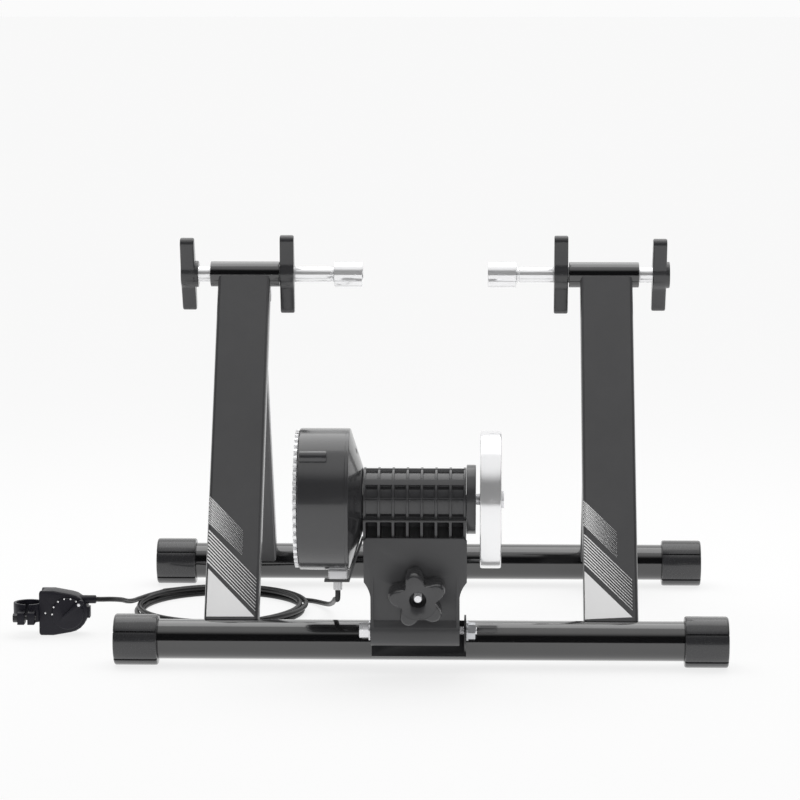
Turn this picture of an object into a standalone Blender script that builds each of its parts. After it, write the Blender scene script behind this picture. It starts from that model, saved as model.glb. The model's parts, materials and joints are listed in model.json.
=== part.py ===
"""Folding bicycle trainer with a magnetic tyre-roller unit and a cable remote.

Metres, +Z up. Construction places are measured from the middle of the floor between the
two floor tubes: +X to the right and +Y away from the rider's back. At the end everything
moves so that the origin lies under the centre of the bounding box.
"""

import math

import bmesh
import bpy
from mathutils import Matrix, Vector

# Clearances
GAP = 0.0003
RUN = 0.0005

# Floor tubes and levelling feet
BAR_RADIUS = 0.019
BAR_WALL = 0.002
BAR_SPREAD = 0.420
REAR_Y = -BAR_SPREAD / 2
FRONT_Y = BAR_SPREAD / 2
FOOT_OUTER_X = 0.2925
FOOT_LENGTH = 0.0415
FOOT_END_WALL = 0.004
FOOT_FLATS = (0.025, 0.0232, 0.0214, 0.0206, 0.0222)
FOOT_CHAMFER = 0.0022

# Axle sleeves and uprights
AXLE_HEIGHT = 0.3555
SLEEVE_RADIUS = 0.01285
SLEEVE_INNER_X = 0.145
SLEEVE_OUTER_X = 0.2155
UPRIGHT_X = 0.1813
UPRIGHT_WALL = 0.0015
REAR_UPRIGHT_WIDTH = 0.052
REAR_UPRIGHT_DEPTH = 0.022
REAR_UPRIGHT_ROUND = 0.003
FRONT_UPRIGHT_WIDTH = 0.036
FRONT_UPRIGHT_DEPTH = 0.020
FRONT_UPRIGHT_ROUND = 0.003
FRONT_UPRIGHT_DROP = 0.005

# Fold hinge behind each rear upright
FOLD_ALONG = 0.0119
FOLD_BEHIND = 0.01315
FOLD_BOLT_RADIUS = 0.004
FOLD_EAR_WALL = 0.003
FOLD_FOOT_WALL = 0.0013
FOLD_EAR_RADIUS = 0.0095
FOLD_EAR_START = 0.0085
FOLD_EAR_END = 0.042
FOLD_HEAD = 0.0032
FOLD_NUT = 0.0028
FOLD_BUSH_RADIUS = 0.0062

# Wheel clamps
SPINDLE_RADIUS = 0.00785
CUP_RADIUS = 0.01285
CUP_INNER_X = 0.0628
CUP_LENGTH = 0.0285
CUP_SOCKET_RADIUS = 0.010
CUP_SOCKET_DEPTH = 0.014
SPIGOT_RADIUS = 0.005
SPIGOT_LENGTH = 0.009
KNOB_THICKNESS = 0.014
KNOB_SPAN = 0.079
KNOB_HUB_RADIUS = 0.0138
KNOB_WING_ROOT = 0.011
KNOB_WING_TIP = 0.0065
KNOB_BOSS_RADIUS = 0.0133
KNOB_BOSS_LENGTH = 0.0034
KNOB_END_WALL = 0.003
OUTER_KNOB_LEFT_X = -0.2462
OUTER_KNOB_RIGHT_X = 0.228
OUTER_KNOB_TURN = 20.0
LOCK_KNOB_INNER_X = 0.1303
LOCK_KNOB_TURN = 11.0

# Tilting unit: pivot and fixed clevis
PIVOT_OUT = 0.036
PIVOT_Y = REAR_Y - PIVOT_OUT
PIVOT_Z = 0.0416
PIVOT_BOLT_RADIUS = 0.004
PIVOT_BOLT_RIGHT = 0.0535
PIVOT_HEAD_LENGTH = 0.0088
PIVOT_WASHER = 0.0018
PIVOT_WASHER_RADIUS = 0.0095
PIVOT_HEX = 0.014
PIVOT_NUT_RIGHT = 0.052
CLEVIS_WALL = 0.003
CLEVIS_LEFT = -0.046
CLEVIS_RIGHT = 0.0434
CLEVIS_UP = 0.014
CLEVIS_CORNER = 0.004
CLEVIS_EAR_WALL = 0.0018
CLEVIS_LEFT_EAR_RADIUS = 0.0093
CLEVIS_RIGHT_EAR_RADIUS = 0.0150
CLEVIS_BOTTOM = 0.0140
TAB_HALF_WIDTH = 0.014
TAB_BEHIND = 0.014
TAB_FOOT = -0.012

# Tilting unit: moving bracket, measured along its plate
LEAN = math.radians(13.0)
BRACKET_WALL = 0.003
BRACKET_FRONT = 0.006
BRACKET_LEFT = -0.0463
BRACKET_RIGHT = 0.0372
BRACKET_WIDE_LEFT = -0.0525
BRACKET_WIDE_RIGHT = 0.0441
BRACKET_NARROW_TO = 0.034
BRACKET_WIDE_FROM = 0.052
BRACKET_TOP = 0.0965
ROLL_RADIUS = 0.0145
ROLL_END_ANGLE = math.radians(-90.0)
FLANGE_BACK = 0.0135
FLANGE_TOP = 0.066

# Tension screw
STUD_ALONG = 0.0464
STUD_RADIUS = 0.004
STUD_END = 0.0252
STUD_HEAD_RADIUS = 0.0095
STUD_HEAD = 0.004
SLOT_RADIUS = 0.0052
SLOT_LOW = -0.0015
SLOT_HIGH = 0.004
TENSION_X = -0.0013
WASHER_RADIUS = 0.008
WASHER_THICKNESS = 0.0016
STAR_FACE = 0.034
STAR_MIDDLE = 0.0225
STAR_TIP = 0.028
STAR_THICKNESS = 0.019
STAR_RECESS_RADIUS = 0.008
STAR_RECESS_DEPTH = 0.018
STAR_COLLAR_RADIUS = 0.0095
STAR_LOBES = 5
STAR_TURN = math.radians(28.0)

# Roller housing
UNIT_AHEAD = 0.003
UNIT_Y = PIVOT_Y + UNIT_AHEAD
UNIT_Z = 0.1665
HOUSING_LEFT = -0.0528
HOUSING_RIGHT = 0.0432
HOUSING_RADIUS = 0.0275
HOUSING_RIB_RADIUS = 0.030
HOUSING_BORE = 0.0200
HOUSING_CELLS = 7
RIB_WALL = 0.0024
OPENING_FROM = math.radians(-22.0)
OPENING_TO = math.radians(84.0)
LONG_RIB_HEIGHTS = (0.0155, 0.0, -0.0185)
SKIRT_BOTTOM = 0.078
SKIRT_TOP = 0.109
SKIRT_BACK = -0.052
WINDOW_LOW = 0.088
WINDOW_HIGH = 0.1055
WINDOW_DEPTH = 0.019

# Rotating parts and drum
SHAFT_RADIUS = 0.00525
SHAFT_LEFT = -0.1225
SHAFT_RIGHT = 0.0785
ROLLER_RADIUS = 0.0155
ROLLER_END_PLAY = 0.003
END_FLANGE_RADIUS = 0.0325
END_FLANGE_RIGHT = 0.0522
BEARING_RADIUS = 0.0130
BEARING_WIDTH = 0.007
DRUM_RADIUS = 0.0665
DRUM_WALL = 0.003
DRUM_LEFT = -0.1155
DRUM_CONE_FROM = -0.0657
DRUM_END_RADIUS = 0.0285
DRUM_HUB_RADIUS = 0.0165
DRUM_HUB_LEFT = -0.080
BOSS_RADIUS = 0.0060
BOSS_LEFT = -0.1135
BOSS_RIGHT = -0.087
BOSS_HEIGHT = 0.041
FLYWHEEL_LEFT = 0.0562
FLYWHEEL_RIGHT = 0.076
FLYWHEEL_RADIUS = 0.0645
FLYWHEEL_DISH = 0.003
FLYWHEEL_HUB_RADIUS = 0.016
FLYWHEEL_RIM = 0.012
FLYWHEEL_NUT = 0.0150
DISC_LEFT = -0.120
DISC_STEP = 0.002
DISC_RADIUS = DRUM_RADIUS - DISC_STEP
DISC_PLAY = 0.0008
DISC_FINS = 40
DISC_FIN_DEPTH = 0.0055
DISC_HUB_RADIUS = 0.011
DISC_HUB_GAP = 0.004
CARRIER_PLAY = 0.0055
CARRIER_RADIUS = DRUM_RADIUS - DRUM_WALL - CARRIER_PLAY
CARRIER_WALL = 0.003
MAGNET_WALL = 0.005
MAGNET_WIDTH = 0.022
MAGNET_INNER_RADIUS = CARRIER_RADIUS - MAGNET_WIDTH

# Cable stop under the drum
STOP_BEHIND = 0.002
STOP_Y = UNIT_Y - STOP_BEHIND
STOP_WIDTH = 0.014
STOP_BLOCK_LEFT = -0.0863
STOP_BLOCK_RIGHT = -0.068
STOP_BLOCK_HEIGHT = 0.0088
STOP_PLATE = 0.002
STOP_PLATE_LEFT = -0.0900
STOP_STRIP_SHORT = 0.00803
ADJUSTER_X = -0.0775
ADJUSTER_RADIUS = 0.0042
ADJUSTER_LENGTH = 0.008

# Handlebar remote, lying on the floor with its dial to the rider's back
REMOTE_Y = -0.067
BAND_X = -0.3950
BLOCK_FROM_BAND = 0.0105
BLOCK_LEFT = BAND_X + BLOCK_FROM_BAND
BLOCK_WIDTH = 0.018
BLOCK_RIGHT = BLOCK_LEFT + BLOCK_WIDTH
BLOCK_HALF_HEIGHT = 0.0225
REMOTE_Z = BLOCK_HALF_HEIGHT
DIAL_FROM_BLOCK = 0.0117
DIAL_X = BLOCK_RIGHT + DIAL_FROM_BLOCK
DIAL_RADIUS = 0.0195
BODY_BACK = 0.013
BODY_FRONT = 0.009
LUG_REACH = 0.0213
LUG_X = DIAL_X + LUG_REACH
LUG_HALF_HEIGHT = 0.0055
LEVER_THICKNESS = 0.006
LEVER_DISC = 0.0028
LEVER_HUB_RADIUS = 0.0160
LEVER_PIN_RADIUS = 0.005
LEVER_PIN_LENGTH = 0.008
LEVER_TAIL = 0.0045
LEVER_REACH = 0.0175
LEVER_TURN = math.radians(39.5)
OUTLET_REACH = 0.0272
OUTLET_X = DIAL_X + OUTLET_REACH
OUTLET_BEHIND = 0.002
OUTLET_Y = REMOTE_Y + OUTLET_BEHIND
OUTLET_RISE = 0.0123
OUTLET_Z = REMOTE_Z + OUTLET_RISE
OUTLET_RADIUS = 0.0042
OUTLET_ROOT = 0.0098
OUTLET_START_X = DIAL_X + OUTLET_ROOT
BAND_RADIUS = 0.0155
BAND_BORE = 0.0127
BAND_LOW = 0.0135
BAND_HIGH = 0.0318
BAND_BEHIND = 0.002
BAND_Y = REMOTE_Y + BAND_BEHIND
EAR_GAP = 0.003
EAR_HALF_SPAN = 0.0085
EAR_REACH = 0.0265
EAR_HEIGHT = 0.012
EAR_BOLT_IN = 0.006
CLAMP_BOLT_RADIUS = 0.0022
CLAMP_HEAD = 0.0045

# Control cable
CABLE_RADIUS = 0.0025
COIL_X = -0.2115
COIL_Y = 0.0575
COIL_RADIUS = 0.0895
COIL_PITCH = 0.0062
COIL_LAYER = 0.0058
COIL_LOW = 0.0026
COIL_START = math.radians(45.0)
COIL_TURNS = 3.29
COIL_STEPS = 24
CABLE_SPACING = 0.0115
UNIT_LEAD = (
    (-0.0781, -0.240, 0.0700),
    (-0.0811, -0.215, 0.0650),
    (-0.0832, -0.180, 0.0583),
    (-0.0860, -0.130, 0.0477),
    (-0.0889, -0.080, 0.0373),
    (-0.0922, -0.030, 0.0262),
    (-0.0956, 0.020, 0.0156),
    (-0.1020, 0.060, 0.0067),
    (-0.1190, 0.095, 0.0030),
)
REMOTE_LEAD = (
    (-0.3000, 0.070, 0.0100),
    (-0.3030, 0.020, 0.0165),
    (-0.3040, -0.018, 0.0250),
    (-0.3060, -0.047, 0.0315),
    (-0.3130, -0.061, 0.0345),
)

# Height of the tube axes above the floor, with every foot on its lowest flat
BAR_HEIGHT = FOOT_FLATS[0]

ORIGINS = {}
EMPTIES = {}
MATERIALS = {}


def clear_scene():
    """Remove whatever the start-up scene holds."""
    for old in list(bpy.data.objects):
        bpy.data.objects.remove(old, do_unlink=True)


def material(name, colour, roughness, metallic=0.0):
    """Make one Principled material."""
    made = bpy.data.materials.new(name)
    made.use_nodes = True
    shader = made.node_tree.nodes["Principled BSDF"]
    shader.inputs["Base Color"].default_value = (*colour, 1.0)
    shader.inputs["Roughness"].default_value = roughness
    shader.inputs["Metallic"].default_value = metallic
    MATERIALS[name] = made


def make_materials():
    """The finishes of the trainer."""
    material("black_paint", (0.022, 0.022, 0.024), 0.28)
    material("bracket_black", (0.045, 0.045, 0.047), 0.45)
    material("knob_plastic", (0.05, 0.05, 0.052), 0.42)
    material("housing_plastic", (0.06, 0.06, 0.062), 0.5)
    material("foot_rubber", (0.07, 0.07, 0.072), 0.55)
    material("chrome", (0.86, 0.86, 0.87), 0.08, 1.0)
    material("zinc", (0.62, 0.63, 0.65), 0.3, 1.0)
    material("bearing_steel", (0.55, 0.55, 0.57), 0.22, 1.0)
    material("flywheel_steel", (0.80, 0.80, 0.81), 0.2, 1.0)
    material("cast_aluminium", (0.75, 0.75, 0.76), 0.35, 1.0)
    material("roller_rubber", (0.03, 0.03, 0.03), 0.7)
    material("magnet", (0.12, 0.12, 0.13), 0.4, 0.6)
    material("grey_plastic", (0.62, 0.62, 0.63), 0.45)
    material("remote_plastic", (0.035, 0.034, 0.042), 0.4)
    material("cable_rubber", (0.028, 0.028, 0.03), 0.5)


def make_body(name, place, parent=None):
    """An empty on a moving body's joint axis, which carries that body's pieces."""
    empty = bpy.data.objects.new(name + "_axis", None)
    empty.empty_display_size = 0.02
    bpy.context.scene.collection.objects.link(empty)
    ORIGINS[name] = Vector(place)
    if parent is None:
        empty.location = Vector(place)
    else:
        empty.parent = EMPTIES[parent]
        empty.location = Vector(place) - ORIGINS[parent]
    EMPTIES[name] = empty


def shape(name, form, body, finish=None):
    """Turn a mesh under construction into an object of one body."""
    bmesh.ops.remove_doubles(form, verts=form.verts, dist=1e-7)
    bmesh.ops.recalc_face_normals(form, faces=form.faces)
    bmesh.ops.translate(form, verts=form.verts, vec=-ORIGINS[body])
    mesh = bpy.data.meshes.new(name)
    form.to_mesh(mesh)
    form.free()
    made = bpy.data.objects.new(name, mesh)
    bpy.context.scene.collection.objects.link(made)
    made.parent = EMPTIES[body]
    if finish:
        mesh.materials.append(MATERIALS[finish])
    mesh.shade_smooth()
    mesh.set_sharp_from_angle(angle=math.radians(30.0))
    return made


def boolean(target, tool, operation):
    """Join, cut or intersect with a helper object, which then stays out of the model."""
    tool.hide_render = True
    tool.display_type = "WIRE"
    step = target.modifiers.new(tool.name, "BOOLEAN")
    step.operation = operation
    step.object = tool
    step.solver = "EXACT"


def cut(target, form, body):
    """Cut a helper form out of an object."""
    boolean(target, shape(target.name + ".cut", form, body), "DIFFERENCE")


def join(target, form, body):
    """Join a helper form to an object."""
    boolean(target, shape(target.name + ".join", form, body), "UNION")


def soften(target, width, segments=1, angle=40.0):
    """Round an object's sharp edges."""
    step = target.modifiers.new("soften", "BEVEL")
    step.width = width
    step.segments = segments
    step.limit_method = "ANGLE"
    step.angle_limit = math.radians(angle)


def along_x(y=0.0, z=0.0):
    """Plane across the X axis: u is +Y, v is +Z, w is +X."""
    return Matrix(((0, 0, 1, 0), (1, 0, 0, y), (0, 1, 0, z), (0, 0, 0, 1)))


def along_z(x=0.0, y=0.0):
    """Plane across the Z axis: u is +X, v is +Y, w is +Z."""
    return Matrix.Translation((x, y, 0))


def facing_rider(x=0.0, y=0.0, z=0.0):
    """Upright plane seen from the rear: u is +X, v is +Z, w is -Y."""
    return Matrix(((1, 0, 0, x), (0, 0, -1, y), (0, 1, 0, z), (0, 0, 0, 1)))


def plate_frame(x=0.0):
    """The moving bracket's plane: u is +X, v runs up the plate, w comes out of its front."""
    up = (0.0, -math.sin(LEAN), math.cos(LEAN))
    out = (0.0, -math.cos(LEAN), -math.sin(LEAN))
    return Matrix(
        (
            (1, up[0], out[0], x),
            (0, up[1], out[1], PIVOT_Y),
            (0, up[2], out[2], PIVOT_Z),
            (0, 0, 0, 1),
        )
    )


def prism(outline, low, high, frame):
    """Extrude an outline of (u, v) points from low to high along w."""
    form = bmesh.new()
    ends = []
    for level in (low, high):
        ends.append([form.verts.new(frame @ Vector((u, v, level))) for u, v in outline])
    form.faces.new(ends[0])
    form.faces.new(ends[1])
    for index in range(len(outline)):
        after = (index + 1) % len(outline)
        form.faces.new((ends[0][index], ends[0][after], ends[1][after], ends[1][index]))
    return form


def block(low, high):
    """A box between two corners."""
    outline = ((low[0], low[1]), (high[0], low[1]), (high[0], high[1]), (low[0], high[1]))
    return prism(outline, low[2], high[2], along_z())


def turned(profile, frame, steps=32, start=0.0, sweep=2 * math.pi):
    """Turn a closed profile of (radius, w) points about w, all the way or over a sweep."""
    form = bmesh.new()
    whole = abs(sweep - 2 * math.pi) < 1e-9
    count = steps if whole else steps + 1
    rings = []
    for radius, level in profile:
        if radius < 1e-9:
            rings.append([form.verts.new(frame @ Vector((0, 0, level)))])
            continue
        ring = []
        for step in range(count):
            angle = start + sweep * step / steps
            place = Vector((radius * math.cos(angle), radius * math.sin(angle), level))
            ring.append(form.verts.new(frame @ place))
        rings.append(ring)
    for index, ring in enumerate(rings):
        other = rings[(index + 1) % len(rings)]
        for step in range(steps):
            after = (step + 1) % count
            corners = []
            for vert in (
                ring[step % len(ring)],
                ring[after % len(ring)],
                other[after % len(other)],
                other[step % len(other)],
            ):
                if vert not in corners:
                    corners.append(vert)
            if len(corners) > 2:
                form.faces.new(corners)
    if not whole:
        form.faces.new([ring[0] for ring in rings])
        form.faces.new([ring[-1] for ring in rings])
    return form


def rod(radius, low, high, frame, steps=24, edge=0.0):
    """A solid round bar, with its edges chamfered if asked."""
    profile = [(0, low), (radius - edge, low), (radius, low + edge)]
    profile += [(radius, high - edge), (radius - edge, high), (0, high)]
    if edge == 0.0:
        profile = [(0, low), (radius, low), (radius, high), (0, high)]
    return turned(profile, frame, steps)


def tube(inner, outer, low, high, frame, steps=32):
    """A plain round tube."""
    return turned([(inner, low), (outer, low), (outer, high), (inner, high)], frame, steps)


def hexagon(across, low, high, frame, turn=0.0):
    """A six-sided bar, sized across its flats."""
    radius = across / math.sqrt(3)
    outline = []
    for side in range(6):
        angle = turn + side * math.pi / 3
        outline.append((radius * math.cos(angle), radius * math.sin(angle)))
    return prism(outline, low, high, frame)


def hull(circles, steps=24):
    """The convex outline around circles given as (u, v, radius)."""
    points = set()
    for u, v, radius in circles:
        for step in range(steps if radius else 1):
            angle = 2 * math.pi * step / steps
            points.add((round(u + radius * math.cos(angle), 7), round(v + radius * math.sin(angle), 7)))
    points = sorted(points)
    chains = []
    for ordered in (points, points[::-1]):
        chain = []
        for point in ordered:
            while len(chain) > 1 and turn_of(chain[-2], chain[-1], point) <= 1e-12:
                chain.pop()
            chain.append(point)
        chains.append(chain[:-1])
    return chains[0] + chains[1]


def turn_of(first, second, third):
    """Positive where three points turn left."""
    ahead = (second[0] - first[0], second[1] - first[1])
    to_third = (third[0] - first[0], third[1] - first[1])
    return ahead[0] * to_third[1] - ahead[1] * to_third[0]


def turned_outline(outline, angle):
    """An outline turned about its plane's origin."""
    cosine = math.cos(angle)
    sine = math.sin(angle)
    return [(u * cosine - v * sine, u * sine + v * cosine) for u, v in outline]


def between(start, end, half_depth, longer=0.0):
    """A rectangle in the YZ plane along the line from start to end, and past both."""
    along = Vector((end[0] - start[0], end[1] - start[1])).normalized()
    across = Vector((-along[1], along[0])) * half_depth
    corners = []
    for place, side, past in ((start, 1, -1), (end, 1, 1), (end, -1, 1), (start, -1, -1)):
        corner = Vector(place[:2]) + side * across + past * longer * along
        corners.append((corner[0], corner[1]))
    return corners


def sides():
    """The left side, which is at -X, and then the right."""
    return (("left", -1), ("right", 1))


def spread(side, inner, outer):
    """A pair of X places on one side, in rising order."""
    return sorted((side * inner, side * outer))


# Rear and front frames


def floor_tube(name, body, y):
    """One tube of the base, open at both ends, which the feet close."""
    half = FOOT_OUTER_X - FOOT_END_WALL - GAP
    form = tube(BAR_RADIUS - BAR_WALL, BAR_RADIUS, -half, half, along_x(y, BAR_HEIGHT), 36)
    shape(name, form, body, "black_paint")


def foot_outline(inset):
    """The cam's five flats at their own distances from the tube's axis."""
    count = len(FOOT_FLATS)
    turn = 2 * math.pi / count
    corners = []
    for index in range(count):
        first = FOOT_FLATS[index] - inset
        second = FOOT_FLATS[(index + 1) % count] - inset
        middle = -math.pi / 2 + index * turn
        reach = (second - first * math.cos(turn)) / math.sin(turn)
        u = first * math.cos(middle) - reach * math.sin(middle)
        v = first * math.sin(middle) + reach * math.cos(middle)
        corners.append((u, v))
    return corners


def levelling_foot(name, body, side, y):
    """A cam that turns on the tube's end, closed outside and chamfered there."""
    low, high = spread(side, FOOT_OUTER_X - FOOT_LENGTH, FOOT_OUTER_X)
    frame = along_x(y, BAR_HEIGHT)
    foot = shape(name, prism(foot_outline(0.0), low, high, frame), body, "foot_rubber")
    soften(foot, FOOT_CHAMFER, 1, 25.0)
    bottom = side * (FOOT_OUTER_X - FOOT_END_WALL)
    mouth = side * (FOOT_OUTER_X - FOOT_LENGTH - FOOT_CHAMFER)
    bore = rod(BAR_RADIUS + GAP, *sorted((bottom, mouth)), frame, 36)
    cut(foot, bore, body)


def rear_upright(name, side):
    """A flat tube from the axle sleeve to the rear floor tube, coped onto both."""
    top = (0.0, AXLE_HEIGHT)
    bottom = (REAR_Y, BAR_HEIGHT)
    low = side * UPRIGHT_X - REAR_UPRIGHT_WIDTH / 2
    high = low + REAR_UPRIGHT_WIDTH
    outline = between(top, bottom, REAR_UPRIGHT_DEPTH / 2)
    upright = shape(name, prism(outline, low, high, along_x()), "rear_frame", "black_paint")
    soften(upright, REAR_UPRIGHT_ROUND, 2)
    margin = 0.004
    sleeve = rod(SLEEVE_RADIUS + GAP, low - margin, high + margin, along_x(*top), 28)
    cut(upright, sleeve, "rear_frame")
    bar = rod(BAR_RADIUS + GAP, low - margin, high + margin, along_x(*bottom), 36)
    cut(upright, bar, "rear_frame")
    inner = between(top, bottom, REAR_UPRIGHT_DEPTH / 2 - UPRIGHT_WALL, margin)
    hollow = prism(inner, low + UPRIGHT_WALL, high - UPRIGHT_WALL, along_x())
    cut(upright, hollow, "rear_frame")


def axle_sleeve(name, side):
    """The sleeve that the clamp spindle screws through."""
    low, high = spread(side, SLEEVE_INNER_X, SLEEVE_OUTER_X)
    frame = along_x(0.0, AXLE_HEIGHT)
    form = tube(SPINDLE_RADIUS + GAP, SLEEVE_RADIUS, low, high, frame, 28)
    shape(name, form, "rear_frame", "black_paint")


def rear_leg_place(along, behind):
    """A (y, z) place from the sleeve's axis: down the rear upright and behind its centre."""
    run = Vector((REAR_Y, BAR_HEIGHT - AXLE_HEIGHT)).normalized()
    back = Vector((-run[1], run[0]))
    place = Vector((0.0, AXLE_HEIGHT)) + run * along + back * behind
    return (place[0], place[1])


def fold_pivot():
    """The (y, z) place of the fold hinge."""
    return rear_leg_place(FOLD_ALONG, REAR_UPRIGHT_DEPTH / 2 + FOLD_BEHIND)


def fold_ears():
    """The X places of each ear's faces, from the inner ear outwards."""
    inner = UPRIGHT_X - FRONT_UPRIGHT_WIDTH / 2 - RUN
    outer = UPRIGHT_X + FRONT_UPRIGHT_WIDTH / 2 + RUN
    return (inner - FOLD_EAR_WALL, inner, outer, outer + FOLD_EAR_WALL)


def fold_bracket(name, side):
    """Two ears on a foot plate, welded to the back of the rear upright."""
    back = REAR_UPRIGHT_DEPTH / 2 + GAP
    ears = fold_ears()
    circles = [(*fold_pivot(), FOLD_EAR_RADIUS)]
    for along in (FOLD_EAR_START, FOLD_EAR_END):
        circles.append((*rear_leg_place(along, back), 0.0))
    low, high = spread(side, ears[0], ears[3])
    form = prism(hull(circles, 20), low, high, along_x())
    bracket = shape(name, form, "rear_frame", "black_paint")
    reach = 2 * FOLD_EAR_RADIUS
    start = rear_leg_place(FOLD_EAR_START - FOLD_EAR_RADIUS, back + FOLD_FOOT_WALL + reach)
    end = rear_leg_place(FOLD_EAR_END + FOLD_EAR_RADIUS, back + FOLD_FOOT_WALL + reach)
    room = spread(side, ears[1], ears[2])
    cut(bracket, prism(between(start, end, reach), *room, along_x()), "rear_frame")
    hole = rod(FOLD_BOLT_RADIUS + GAP, low - 0.002, high + 0.002, along_x(*fold_pivot()), 20)
    cut(bracket, hole, "rear_frame")


def fold_fasteners(side_name, side):
    """The hinge's low-headed bolt from inside and its nut outside."""
    ears = fold_ears()
    frame = along_x(*fold_pivot())
    head_top = ears[0] - GAP - FOLD_HEAD
    bolt_end = ears[3] + GAP + FOLD_NUT + 0.0008
    shank = spread(side, head_top + FOLD_HEAD / 2, bolt_end)
    form = rod(FOLD_BOLT_RADIUS, *shank, frame, 16, 0.0006)
    bolt = shape("fold_bolt_" + side_name, form, "rear_frame", "zinc")
    head = spread(side, head_top, head_top + FOLD_HEAD)
    join(bolt, hexagon(0.012, *head, frame), "rear_frame")
    nut_low, nut_high = spread(side, ears[3] + GAP, ears[3] + GAP + FOLD_NUT)
    nut = shape(
        "fold_nut_" + side_name,
        hexagon(0.013, nut_low, nut_high, frame),
        "rear_frame",
        "zinc",
    )
    bore = rod(FOLD_BOLT_RADIUS + GAP, nut_low - 0.002, nut_high + 0.002, frame, 16)
    cut(nut, bore, "rear_frame")


def front_upright(name, side):
    """A narrower flat tube with a round pivot end, coped onto the front floor tube."""
    pivot = fold_pivot()
    target = Vector((FRONT_Y, BAR_HEIGHT))
    run = (target - Vector(pivot)).normalized()
    near = Vector((run[1], -run[0]))
    end = target + near * FRONT_UPRIGHT_DROP
    low = side * UPRIGHT_X - FRONT_UPRIGHT_WIDTH / 2
    high = low + FRONT_UPRIGHT_WIDTH
    half = FRONT_UPRIGHT_DEPTH / 2
    circles = [(*pivot, half)]
    circles += [(u, v, 0.0) for u, v in between(pivot, end, half)[1:3]]
    form = prism(hull(circles, 18), low, high, along_x())
    upright = shape(name, form, "front_frame", "black_paint")
    soften(upright, FRONT_UPRIGHT_ROUND, 2)
    circles = [(*pivot, half - UPRIGHT_WALL)]
    inner = between(pivot, end, half - UPRIGHT_WALL, 0.004)[1:3]
    circles += [(u, v, 0.0) for u, v in inner]
    hollow = prism(hull(circles, 18), low + UPRIGHT_WALL, high - UPRIGHT_WALL, along_x())
    cut(upright, hollow, "front_frame")
    bar = rod(BAR_RADIUS + GAP, low - 0.004, high + 0.004, along_x(FRONT_Y, BAR_HEIGHT), 36)
    cut(upright, bar, "front_frame")
    frame = along_x(*pivot)
    hole = rod(FOLD_BUSH_RADIUS + GAP, low - 0.002, high + 0.002, frame, 20)
    cut(upright, hole, "front_frame")


def fold_bush(name, side):
    """The tube that runs across the front upright around the hinge bolt."""
    ears = fold_ears()
    low, high = spread(side, ears[1] + GAP, ears[2] - GAP)
    form = tube(FOLD_BOLT_RADIUS + GAP, FOLD_BUSH_RADIUS, low, high, along_x(*fold_pivot()), 20)
    shape(name, form, "front_frame", "zinc")


# Wheel clamps


def knob_outline():
    """Two wings that taper from a round hub, computed along half of one wing's edge."""
    tip = KNOB_SPAN / 2 - KNOB_WING_TIP
    quarter = []
    for u in (0.0, 0.004, 0.0078, 0.011, 0.018, 0.026):
        if u < KNOB_HUB_RADIUS:
            hub = math.sqrt(KNOB_HUB_RADIUS**2 - u**2)
        else:
            hub = 0.0
        share = u / tip
        wing = KNOB_WING_ROOT + (KNOB_WING_TIP - KNOB_WING_ROOT) * share
        quarter.append((u, max(hub, wing)))
    for step in range(5):
        angle = math.pi / 2 * (1 - step / 4)
        u = tip + KNOB_WING_TIP * math.cos(angle)
        quarter.append((u, KNOB_WING_TIP * math.sin(angle)))
    half = quarter + [(u, -v) for u, v in reversed(quarter[:-1])]
    return half + [(-u, v) for u, v in half[-2:0:-1]]


def winged_knob(name, body, low, turn, bore_low, bore_high, boss):
    """A winged hand knob on the spindle's axis, with or without a boss on its +X side."""
    frame = along_x(0.0, AXLE_HEIGHT)
    outline = turned_outline(knob_outline(), math.radians(90.0 + turn))
    high = low + KNOB_THICKNESS
    knob = shape(name, prism(outline, low, high, frame), body, "knob_plastic")
    soften(knob, 0.0016, 1)
    if boss:
        ring = rod(KNOB_BOSS_RADIUS, high - 0.005, high + KNOB_BOSS_LENGTH, frame, 24, 0.0012)
        join(knob, ring, body)
    cut(knob, rod(SPINDLE_RADIUS + GAP, bore_low, bore_high, frame, 24), body)


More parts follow.
